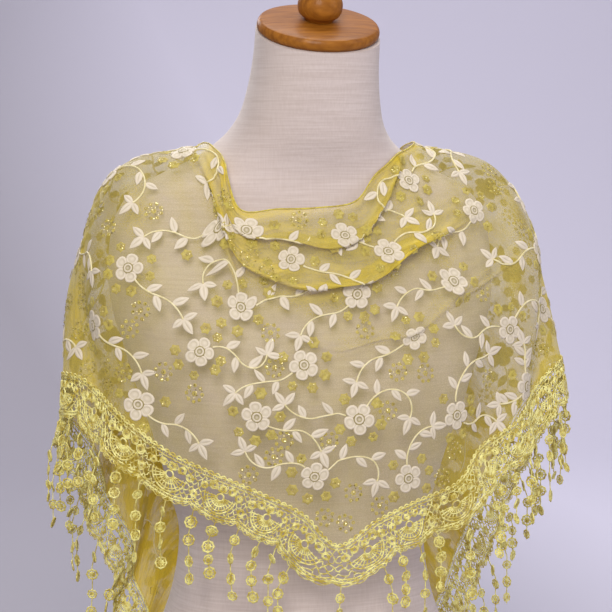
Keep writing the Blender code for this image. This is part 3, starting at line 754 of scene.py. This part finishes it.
def heartShape(around=16):        # the flower's middle: a khaki cord round an ivory button
    rows = [(5.4, 0.2, 0.9), (4.9, 1.3, 1.0), (4.3, 1.3, 0.95), (4.0, 1.1, 0.2), (3.5, 1.8, 0.0),
            (2.8, 1.7, 0.0), (2.3, 1.2, 0.85)]
    points = [(r * math.cos(angle), r * math.sin(angle), lift, tone)
              for r, lift, tone in rows for angle in evenAngles(around)]
    return points + [(0, 0, 1.4, 0.15)], discFaces(len(rows), around)


def leafShape(stations=9):        # an almond with a slit down the middle, from its foot at 0 along x
    # tone: khaki at the edges, an outline that is partly painted shade, and darker along the slit
    across = [(-1, 0.1, 0.7), (-0.86, 0.75, 0.06), (-0.45, 1.1, 0), (-0.13, 0.85, 0.08), (0, 0.4, 0.45)]
    across += [(-share, lift, tone) for share, lift, tone in reversed(across[:-1])]
    points = []
    for s in (n / (stations - 1) for n in range(stations)):
        half = sprigSizes["leafWide"] / 2 * math.sin(math.pi * s ** 0.85) ** 0.85 + 0.12
        slit = min(1, max(0, (0.5 - abs(s - 0.5)) * 7 - 1))
        thick = 0.35 + 0.65 * math.sin(math.pi * s)
        for share, lift, tone in across:
            if share == 0:
                lift, tone = lift * slit + 0.9 * (1 - slit), tone * slit
            points.append((s * sprigSizes["leafLong"], share * half, lift * thick, tone))
    columns = len(across)
    faces = [(a, a + columns, a + columns + 1, a + 1)
             for n in range(stations - 1) for a in range(n * columns, n * columns + columns - 1)]
    return points, faces


def isFree(taken, x, y, room):
    return not taken or min(math.hypot(x - a, y - b) - r for a, b, r in taken) > room


def onCut(x, y, margin):
    half, depth = netCut["halfLength"], netCut["depth"]
    return abs(x) < half * 0.955 and margin < y < depth * (1 - abs(x) / half) - margin


def stepped(scale, x, y, heading, length):    # a place on the flat cut, some way off along the cloth
    across, down = length * math.cos(math.radians(heading)), length * math.sin(math.radians(heading))
    dx, dy = onCutOffset(scale, x, y, across, down)
    return x + dx, y + dy


def stemPath(scale, x, y, heading, bends, mirror):
    path = [(x, y, heading)]
    for length, turn in bends:
        count = max(1, round(length / sprigSizes["stemStep"]))
        for _ in range(count):
            heading += mirror * turn / count
            x, y = stepped(scale, x, y, heading, sprigSizes["stemStep"])
            path.append((x, y, heading))
    return path


def freeStem(scale, stem, x, y, flip, taken):    # as much of a stem as there is room for
    out = stem["out"] if flip > 0 else 180 - stem["out"]
    others = [item for item in taken if math.hypot(item[0] - x, item[1] - y) > 1]
    kept = []
    foot = stepped(scale, x, y, out, sprigSizes["stemFrom"])
    for at in stemPath(scale, *foot, out, stem["bends"], flip):
        if not (isFree(others, *at[:2], needs["stem"]) and onCut(*at[:2], sprigSizes["margin"])):
            break
        kept.append(at)
    while kept and not (isFree(others, *kept[-1][:2], needs["end"]) and onCut(*kept[-1][:2], 12)):
        kept.pop()
    return kept


def layOutSprigs(scale):          # flowers, stems, leaves, blossoms and fleck groups, clear of each other
    dice = random.Random(sprigSizes["seed"])
    aside, down = sprigSizes["strayAcross"], sprigSizes["strayDown"]
    flowers, stems, leaves, blossoms, groups, taken = [], [], [], [], [], []
    for row in range(sprigSizes["rows"]):
        for column in range(-9, 10):
            x = (column + 0.5 * (row % 2)) * sprigSizes["columnPitch"] + dice.uniform(-aside, aside)
            x += sprigSizes["firstColumn"]
            y = sprigSizes["firstRow"] + row * sprigSizes["rowPitch"] + dice.uniform(-down, down)
            if onCut(x, y, sprigSizes["flowerMargin"]):
                kind, mirror = (row + column) % len(sprigStems), (-1) ** (row + column)
                flowers.append((x, y, dice.uniform(0, 72), dice.uniform(0.92, 1.08), kind, mirror))
                taken.append((x, y, takes["flower"]))
    for x, y, _, _, kind, mirror in flowers:
        for stem in sprigStems[kind]:
            tried = [(freeStem(scale, stem, x, y, flip, taken), flip) for flip in (mirror, -mirror)]
            path, side = max(tried, key=lambda pair: len(pair[0]))
            if len(path) < sprigSizes["fewestSteps"]:
                continue
            others = [item for item in taken if item[2] != takes["stem"]]
            stems.append(path)
            taken += [(a, b, takes["stem"]) for a, b, _ in path[2:]]
            for share, hand in stem["leaves"]:
                a, b, heading = path[int(share * (len(path) - 1))]
                lean = heading + hand * side * sprigSizes["leafLean"]
                tip = stepped(scale, a, b, lean, sprigSizes["leafReach"])
                if onCut(*tip, 2) and isFree(others, *tip, needs["leaf"]):
                    leaves.append((a, b, lean, dice.uniform(0.85, 1.05)))
                    taken.append((*tip, takes["leaf"]))
            a, b, heading = path[-1]
            for lean, size in trefoil:
                leaves.append((a, b, heading + lean, size * dice.uniform(0.92, 1.05)))
            taken.append((*stepped(scale, a, b, heading, 6), takes["end"]))
    for x, y, turn, *_ in flowers:
        others = [item for item in taken if item[:2] != (x, y)]
        for n in range(sprigSizes["blossomsRound"]):
            angle = turn + n * 360 / sprigSizes["blossomsRound"] + dice.uniform(-9, 9)
            a, b = stepped(scale, x, y, angle, sprigSizes["blossomOut"])
            if onCut(a, b, 7) and isFree(others, a, b, needs["blossom"]):
                blossoms.append((a, b, dice.uniform(0, 360), dice.uniform(0.88, 1.12)))
                for places in (taken, others):
                    places.append((a, b, takes["blossom"]))
    for _ in range(sprigSizes["tries"]):
        a, b = dice.uniform(-700, 700), dice.uniform(12, 430)
        wanted = len(groups) < sprigSizes["fleckGroups"] and onCut(a, b, 11)
        if wanted and isFree(taken, a, b, needs["flecks"]):
            groups.append((a, b, dice.uniform(0, 360)))
            taken.append((a, b, takes["flecks"]))
    return flowers, stems, leaves, blossoms, groups


def workedOnNet(name, net, scale, shape, places, finish):    # copies of one flat motif that follow the cloth
    local, count = np.array(shape[0], float), len(places)
    xs, ys = [], []
    for x, y, turn, size in places:
        cos, sin = math.cos(math.radians(turn)) * size, math.sin(math.radians(turn)) * size
        across, down = local[:, 0] * cos - local[:, 1] * sin, local[:, 0] * sin + local[:, 1] * cos
        dx, dy = onCutOffset(scale, x, y, across, down)
        xs.append(x + dx)
        ys.append(y + dy)
    lifts = np.tile(local[:, 2] + 0.25, count)
    points, _, inside = onNet(net, np.concatenate(xs), np.concatenate(ys), lifts)
    faces = [tuple(start + corner for corner in face)
             for start in range(0, count * len(local), len(local))
             for face in shape[1] if all(inside[start + corner] for corner in face)]
    piece = makeMesh(name, points, faces, finish)
    setUv(piece, np.tile(local[:, :2], (count, 1)) * mm)
    setAttribute(piece, "tone", "FLOAT", np.tile(local[:, 3], count))
    return piece


def satinFinish():                # rayon satin stitch, ivory: a soft sheen over close rows, khaki outlines that are partly painted shade
    finish, tree, shader = newMaterial("ivorySatinStitch", "#E6DBC4", Roughness=0.5, Sheen_Weight=0.1)
    tone = addNode(tree, "ShaderNodeAttribute", attribute_name="tone").outputs["Fac"]
    stitch = addNode(tree, "ShaderNodeUVMap", uv_map="cut")
    place = addNode(tree, "ShaderNodeTexCoord").outputs["Object"]
    cloud = addNode(tree, "ShaderNodeTexNoise", {"Vector": place, "Scale": 60.0, "Detail": 2.0})    # 17 mm
    ivory = twoTone(tree, cloud, 0.0, 1.0, "#EBE0CA", "#DACEB6")
    # khaki where tone rises: the cord and outlines, with painted shade at the rims of petals and leaves
    outlinedAndShaded = addNode(tree, "ShaderNodeMix", {0: tone, 6: ivory, 7: toLinear("#8E7F3C")}, data_type="RGBA")
    rows = addNode(tree, "ShaderNodeTexWave", {      # 1 mm, drawn coarse to show
        "Vector": stitch, "Scale": 320.0, "Distortion": 1.0}, wave_type="BANDS", bands_direction="Y")
    bump = addNode(tree, "ShaderNodeBump", {
        "Strength": 0.35, "Distance": 0.0004, "Height": rows.outputs["Fac"]})
    feed(tree, shader, {"Base Color": outlinedAndShaded.outputs[2], "Normal": bump})
    return finish


def cordFinish(name, light, dark, roughness, shine):    # twisted rayon: lustrous, in patches of two tones
    finish, tree, shader = newMaterial(name, light, Roughness=roughness, Sheen_Weight=shine,
                                       Specular_IOR_Level=0.75)
    place = addNode(tree, "ShaderNodeTexCoord").outputs["Object"]
    cloud = addNode(tree, "ShaderNodeTexNoise", {"Vector": place, "Scale": 210.0, "Detail": 3.0})   # 5 mm
    twist = addNode(tree, "ShaderNodeTexNoise", {"Vector": place, "Scale": 900.0, "Detail": 1.0})   # 1 mm
    bump = addNode(tree, "ShaderNodeBump", {"Strength": 0.4, "Distance": 0.0004, "Height": twist})
    feed(tree, shader, {"Base Color": twoTone(tree, cloud, 0.4, 0.62, light, dark), "Normal": bump})
    return finish


def fleckFinish():                # gold glitter flecks glued to the net: small bright metal chips
    finish, tree, shader = newMaterial("goldGlitter", "#C9B458", Metallic=0.85, Roughness=0.3)
    place = addNode(tree, "ShaderNodeTexCoord").outputs["Object"]
    chips = addNode(tree, "ShaderNodeTexNoise", {"Vector": place, "Scale": 420.0, "Detail": 0.0})   # 2.4 mm
    feed(tree, shader, {"Base Color": twoTone(tree, chips, 0.4, 0.6, "#8F7C2C", "#F0E6B0")})
    return finish


def plainMotif(name, points, faces):
    mesh = bpy.data.meshes.new(name)
    mesh.from_pydata([tuple(c * mm for c in point) for point in points], [], faces)
    mesh.shade_smooth()
    return addObject(name, mesh)


def blossomMotif(around=18):      # a flat six-lobed blossom with a sunk middle, 11 mm across
    points = []
    for scale, lift in ((1.0, 0.05), (0.78, 0.7), (0.42, 0.55), (0.26, 0.1)):
        for angle in evenAngles(around):
            r = scale * (5.0 + 0.75 * math.cos(6 * angle))
            points.append((r * math.cos(angle), r * math.sin(angle), lift))
    faces = ringFaces(4, around)
    del faces[-2]                 # open underneath
    return plainMotif("blossomMotif", points, faces)


def fleckMotif():                 # a six-sided chip, 1 mm across
    points = [(0.5 * math.cos(angle), 0.5 * math.sin(angle), 0) for angle in evenAngles(6)]
    return plainMotif("fleckMotif", points + [(0, 0, 0.2)], [(n, (n + 1) % 6, 6) for n in range(6)])


def scatterBlossoms(net, scale, blossoms, groups):    # and nine small ones in each group
    spotted = list(blossoms)
    for x, y, turn in groups:
        for n in range(9):
            at = stepped(scale, x, y, turn + n * 45, 0 if n == 8 else 7.6)
            spotted.append((*at, turn, 0.5 if n == 8 else 0.36))
    x, y, _, widths = (np.array(column) for column in zip(*spotted))
    points, normals, _ = onNet(net, x, y, 0.35)
    ahead = onNet(net, x + 3, y, 0.35)[0] - points
    yellow = cordFinish("yellowBlossomStitch", "#CFBF50", "#AF9B3A", 0.65, 0.1)
    yellow.node_tree.nodes["Principled BSDF"].inputs["Alpha"].default_value = 0.75
    return scatterPiece("yellowBlossoms", blossomMotif(), points, ahead, normals, widths, yellow)


def scatterFlecks(net, scale, blossoms, groups):    # in rings round each group's middle, and on each blossom
    dice = random.Random(5)
    spots = []
    for x, y, turn in groups:
        for ring, count in ((0, 2), (3.8, 6), (7.6, 16)):
            for n in range(count):
                sx, sy = stepped(scale, x, y, turn + n * 360 / count, ring)
                spots.append((sx + dice.gauss(0, 0.6), sy + dice.gauss(0, 0.6)))
    for x, y, turn, size in blossoms:
        spots += [stepped(scale, x, y, turn + n * 60, 3.1 * size if n else 0) for n in range(7)]
    points, normals, inside = onNet(net, *np.array(spots).T, 0.85)
    keep = np.nonzero(inside)[0]
    tilt = [Vector(normals[n]) + Vector([dice.gauss(0, 0.3) for _ in range(3)]) for n in keep]
    tilt = [way.normalized() for way in tilt]
    alongs = [way.orthogonal() for way in tilt]
    widths = [dice.uniform(0.9, 1.7) for _ in keep]
    return scatterPiece("goldFlecks", fleckMotif(), points[keep], alongs, tilt, widths, fleckFinish())


def buildEmbroidery(net):
    scale = cutScale(net)
    flowers, stems, leaves, blossoms, groups = layOutSprigs(scale)
    satin = satinFinish()
    petals = [(x, y, turn + 360 / sprigSizes["petals"] * n, size)
              for x, y, turn, size, *_ in flowers for n in range(sprigSizes["petals"])]
    made = [workedOnNet("ivoryPetals", net, scale, petalShape(), petals, satin),
            workedOnNet("flowerHearts", net, scale, heartShape(), [flower[:4] for flower in flowers], satin),
            workedOnNet("ivoryLeaves", net, scale, leafShape(), leaves, satin)]
    runs = [(onNet(net, *np.array(path).T[:2], 0.6)[0], False, 1.0) for path in stems]
    cream = cordFinish("creamStemCord", "#EDE3B6", "#DDD198", 0.45, 0.1)
    made.append(threadPiece("creamStems", runs, sprigSizes["stemThick"], cream, sides=6))
    made.append(scatterBlossoms(net, scale, blossoms, groups))
    made.append(scatterFlecks(net, scale, blossoms, groups))
    t = np.linspace(-netCut["tipShare"], netCut["tipShare"], hemSizes["steps"])
    hem = onNet(net, t * netCut["halfLength"], np.full(len(t), 1.0), hemSizes["lift"])[0]
    roll = cordFinish("rolledHemThread", "#D6C640", "#B39E28", 0.5, 0.3)
    made.append(threadPiece("rolledHem", [(hem, False, 1.0)], hemSizes["thick"], roll, sides=6))
    for piece in made:
        onRoot(piece, "sheer_net")
    print("embroidery done:", len(flowers), "flowers", len(leaves), "leaves", len(blossoms), "blossoms")
    return made


# the lace border, and the fringe of chained rosettes under it

laceSizes = {
    "width": 38, "scallopDepth": 5, "scallops": 17.33, "topGap": 0.3, "hang": 0.45, "thread": 0.74,
    "steps": 900, "netRows": 8, "netRowPitch": 4.1, "loopPitch": 5.4, "seed": 23,
    "fanDown": 17.5, "fanRadius": 15.2, "fanRays": 13, "fanEye": 3.4,
    "rings": ((-17.5, 12.5), (17.5, 12.5), (0, 9.6), (-9.5, 9.0), (9.5, 9.0)),
}
fringeSizes = {
    "thread": 0.55, "pitch": 16.4, "barShare": 0.4, "columnsApart": 3, "swing": 12, "swingDrop": 0.3,
    "spacing": 12, "lengths": (66, 54, 72, 60, 69, 50), "rosettes": (0.15, 0.41, 0.67, 0.93),
    "rosetteRadius": 5.6, "seed": 31,
}
edgeLength = math.hypot(netCut["halfLength"], netCut["depth"])
scallopPitch = netCut["tipShare"] * edgeLength / laceSizes["scallops"]


def borderFrames(net, side):      # along one short side of the cut: starts, ways down and ways out
    share = np.linspace(0, netCut["tipShare"], laceSizes["steps"])
    t, tip, one = side * share, netCut["tipShare"], np.ones(len(share))
    start, _, _ = onNet(net, *flatPlace(t, one), 0.3)
    normal = clothNormal(t, one)
    ahead, behind = clothBase(np.minimum(t + 0.02, tip), one), clothBase(np.maximum(t - 0.02, -tip), one)
    down = normalised(np.cross(normal, normalised(ahead - behind)))
    down *= np.sign(np.einsum("nc,nc->n", down, clothBase(t, one) - clothBase(t, one * 0.9)))[:, None]
    hang = (laceSizes["hang"] * eased((share - 0.1) / 0.2))[:, None]
    down = normalised(down * (1 - hang) + np.array((0, 0, -1.0)) * hang)
    return {"s": share * edgeLength, "start": start, "down": down, "normal": normal}


def stretches(net):               # the two stretches of each border, with their names
    shoulder = netCut["shoulderShare"] * edgeLength
    for side, word in ((-1, "Left"), (1, "Right")):
        border = borderFrames(net, side)
        for place, first, last in (("Front", 0.0, shoulder), ("Back", shoulder, border["s"][-1])):
            yield border, side, first, last, place + word, f"{place.lower()}_{word.lower()}"


def onBorder(border, s, w, lift):
    s, w = np.broadcast_arrays(np.asarray(s, float), np.asarray(w, float))
    found = [np.stack([np.interp(s, border["s"], border[key][:, c]) for c in range(3)], 1)
             for key in ("start", "down", "normal")]
    wave = w / laceSizes["width"]
    pucker = 1.5 * np.sin(s / 3.7) * wave**2 + 1.1 * np.sin(s / 6.1 + 1) * wave
    return found[0] + found[1] * (w + laceSizes["topGap"])[:, None] + found[2] * (lift + pucker)[:, None]


def borderWidth(s):
    valley = (1 - np.abs(np.sin(math.pi * s / scallopPitch))) ** 2
    return laceSizes["width"] - laceSizes["scallopDepth"] * valley


def laceRuns(border, first, last, dice):    # every thread of one stretch of the border
    runs = []

    def stretch(step):
        return np.arange(first, last + step * 0.5, step)

    def jitter(count, size):
        return np.array([dice.gauss(0, size) for _ in range(count)])

    def work(s, w, lift, width, closed=False):
        runs.append((onBorder(border, s, w, lift), closed, width))

    def circle(s, w, r, ring, lift, width):
        work(s + r * np.sin(ring), w + r * np.cos(ring), lift, width, closed=True)

    line, zigzag, arch = stretch(2.0), stretch(1.9), stretch(1.1)    # the heading
    for down, lift, width in ((0.6, 0.5, 1.15), (4.0, 0.5, 1.0)):
        work(line, down + jitter(len(line), 0.25), lift, width)
    work(zigzag, np.where(np.arange(len(zigzag)) % 2, 0.7, 4.0), 0.9, 0.8)
    work(arch, 0.4 - 2.3 * np.abs(np.sin(math.pi * arch / 6.1)), 0.7, 1.0)
    zigzag, picot = stretch(1.6), stretch(0.95)      # the scalloped edge
    for inset, lift, width in ((0.5, 0.6, 1.35), (3.4, 0.5, 1.0)):
        work(line, borderWidth(line) - inset + jitter(len(line), 0.15), lift, width)
    work(zigzag, borderWidth(zigzag) - np.where(np.arange(len(zigzag)) % 2, 0.6, 3.3), 1.0, 0.8)
    work(picot, borderWidth(picot) + 1.9 * np.abs(np.sin(math.pi * picot / 5.7)) - 0.4, 0.4, 0.85)
    deep, big, eye = laceSizes["fanDown"], laceSizes["fanRadius"], laceSizes["fanEye"]
    for row in range(laceSizes["netRows"]):          # loops in rows, left out at the fans
        s = stretch(1.05)
        loop = np.abs(np.sin(math.pi * (s / laceSizes["loopPitch"] + 0.5 * row))) ** 0.75
        w = 4.0 + row * laceSizes["netRowPitch"] + (laceSizes["netRowPitch"] + 0.5) * loop
        s = s + 0.6 * np.sin(s * 1.7 + row) + 0.5 * np.sin(s * 0.61 + 2 * row) + jitter(len(s), 0.22)
        out = (s % scallopPitch) - scallopPitch / 2
        inFan = (out**2 + (w - deep) ** 2 < big**2) & (w > deep - 3)
        keep = ~inFan & (w < borderWidth(s) - 2.6)
        ends = np.flatnonzero(np.diff(np.concatenate(([0], keep.astype(int), [0]))))
        for a, b in zip(ends[::2], ends[1::2]):
            if b - a > 2:
                work(s[a:b], w[a:b] + jitter(b - a, 0.3), 0.2 + 0.5 * (row % 2), dice.uniform(0.8, 1.1))
    fine = np.radians(np.linspace(-92, 92, 30))
    for number in range(math.floor(first / scallopPitch), math.ceil(last / scallopPitch)):
        middle = (number + 0.5) * scallopPitch
        if not first + 12 < middle < last - 12:
            continue
        for angle in np.radians(np.linspace(-84, 84, laceSizes["fanRays"])):
            r = np.linspace(eye, big, 6)
            work(middle + r * np.sin(angle), deep + r * np.cos(angle), 0.8, 0.95)
        for r, lift, width in ((8.6, 1.1, 0.9), (big - 2.6, 1.2, 0.9), (big, 0.9, 1.2)):
            work(middle + r * np.sin(fine), deep + r * np.cos(fine), lift, width)
        circle(middle, deep, eye, np.linspace(0, tau, 12, endpoint=False), 1.1, 1.2)
        for out, w in (*laceSizes["rings"], (scallopPitch / 2, 24)):
            ring, r = np.linspace(0, tau, 10, endpoint=False) + dice.uniform(0, 1), dice.uniform(1.7, 2.6)
            circle(middle + out, w, r, ring, 1.0, 0.95)
            circle(middle + out, w, 1.6 * r, ring, 1.0, 0.95)
    return runs


def buildLace(net):
    dice = random.Random(laceSizes["seed"])
    thread = cordFinish("lustrousLaceThread", "#FAF49E", "#C6B038", 0.28, 0.15)
    made = []
    for border, _, first, last, name, node in stretches(net):
        runs = laceRuns(border, first, last, dice)
        made.append(threadPiece("lace" + name, runs, laceSizes["thread"], thread, sides=4))
        onRoot(made[-1], "yellow_lace", "lace_" + node)
    print("lace done:", sum(len(piece.data.polygons) for piece in made), "faces")
    return made


def rosetteMotif():               # a crocheted rosette of radius 1: a scalloped ring, a small one and spokes
    points, faces = [], []

    def ring(radius, lobes, wave, thick, around, sides):
        start = len(points)
        for angle in evenAngles(around):
            r = radius + wave * math.cos(lobes * angle)
            for turn in evenAngles(sides):
                out = r + thick * math.cos(turn)
                points.append((out * math.cos(angle), out * math.sin(angle), thick * math.sin(turn)))
        for n in range(around):
            here, after = start + n * sides, start + (n + 1) % around * sides
            faces.extend((here + m, after + m, after + (m + 1) % sides, here + (m + 1) % sides)
                         for m in range(sides))

    ring(0.84, 8, 0.07, 0.15, 32, 4)
    ring(0.40, 8, 0.03, 0.11, 16, 4)
    thick = 0.11
    for angle in evenAngles(8):   # three-sided spokes
        start, cos, sin = len(points), math.cos(angle), math.sin(angle)
        for r in (0.08, 0.80):
            for turn in evenAngles(3):
                side = thick * math.cos(turn)
                points.append((r * cos - side * sin, r * sin + side * cos, thick * math.sin(turn)))
        for m, after in ((0, 1), (1, 2), (2, 0)):
            faces.append((start + m, start + after, start + 3 + after, start + 3 + m))
    return plainMotif("rosetteMotif", points, faces)


def tasselPlaces(first, last, leftwards):    # the middles of the lace's bars and gaps, from left to right
    count = round((last - first) / fringeSizes["pitch"])
    pitch, share = (last - first) / count, fringeSizes["barShare"]
    places = [first + (n + at) * pitch for n in range(count) for at in (share / 2, (1 + share) / 2)]
    return places[::-1] if leftwards else places


def buildFringe(net):
    dice = random.Random(fringeSizes["seed"])
    thread = cordFinish("lustrousFringeThread", "#F5EE90", "#C2AC3A", 0.32, 0.15)
    made, feet = [], []
    for border, side, first, last, name, node in stretches(net):
        line = np.arange(first, last, 1.2)
        loops = borderWidth(line) + 1.2 + 2.0 * np.abs(np.sin(math.pi * line / 8.1))
        runs = [(onBorder(border, line, loops, 0.3), False, 0.9)]
        centres, normals, widths, previous = [], [], [], -9
        for index, s in enumerate(tasselPlaces(first, last, side < 0)):
            near = np.array([s, s, s - 12, s + 12])
            down = borderWidth(near) + (0.6, 4.4, 4.4, 4.4)
            top, lower, behind, ahead = onBorder(border, near, down, 0.2)
            along = Vector((ahead - behind) * (1, 1, 0)).normalized() * side
            away = Vector(lower - top).normalized() * fringeSizes["swing"]
            away.z = 0
            foot = (Vector(lower) + away).xy
            crowded = any((foot - other).length < fringeSizes["spacing"] for other in feet)
            if crowded or index - previous < fringeSizes["columnsApart"]:
                continue
            previous, length = index, fringeSizes["lengths"][len(feet) % len(fringeSizes["lengths"])]
            feet.append(foot)
            sway = Vector((dice.uniform(-2.5, 2.5), dice.uniform(-1.5, 1.5), 0))

            def onTassel(drop):
                swung = away * min(drop / fringeSizes["swingDrop"], 1) + sway * math.sin(math.pi * drop)
                return Vector(lower) + swung + Vector((0, 0, -drop * length))

            runs.append(([Vector(top)] + [onTassel(drop) for drop in np.linspace(0, 1, 14)], False, 1.0))
            for drop in fringeSizes["rosettes"]:
                centres.append(onTassel(drop + dice.uniform(-0.02, 0.02)))
                turned = Matrix.Rotation(dice.gauss(0, 0.6), 3, "Z") @ along.cross(Vector((0, 0, 1)))
                normals.append((turned + Vector((0, 0, dice.gauss(0, 0.25)))).normalized())
                widths.append(fringeSizes["rosetteRadius"] * dice.uniform(0.86, 1.12))
        alongs = [Vector((0, 0, 1))] * len(centres)
        strands = threadPiece("strands" + name, runs, fringeSizes["thread"], thread, sides=4)
        beads = scatterPiece("rosettes" + name, rosetteMotif(), centres, alongs, normals, widths, thread)
        onRoot(strands, "yellow_thread", "fringe_" + node)
        onRoot(beads, "yellow_thread")
        made += [strands, beads]
    print("fringe done:", len(feet), "tassels,", sum(len(piece.data.polygons) for piece in made), "faces")
    return made


# main

threadTube, motifOnPoints = threadTubeTree(), motifTree()
buildStudio()
torso, formTree = buildForm()
netGrid = buildNetGrid(formTree)
sheerNet = buildNet(netGrid)
trims = buildEmbroidery(netGrid) + buildLace(netGrid) + buildFringe(netGrid)
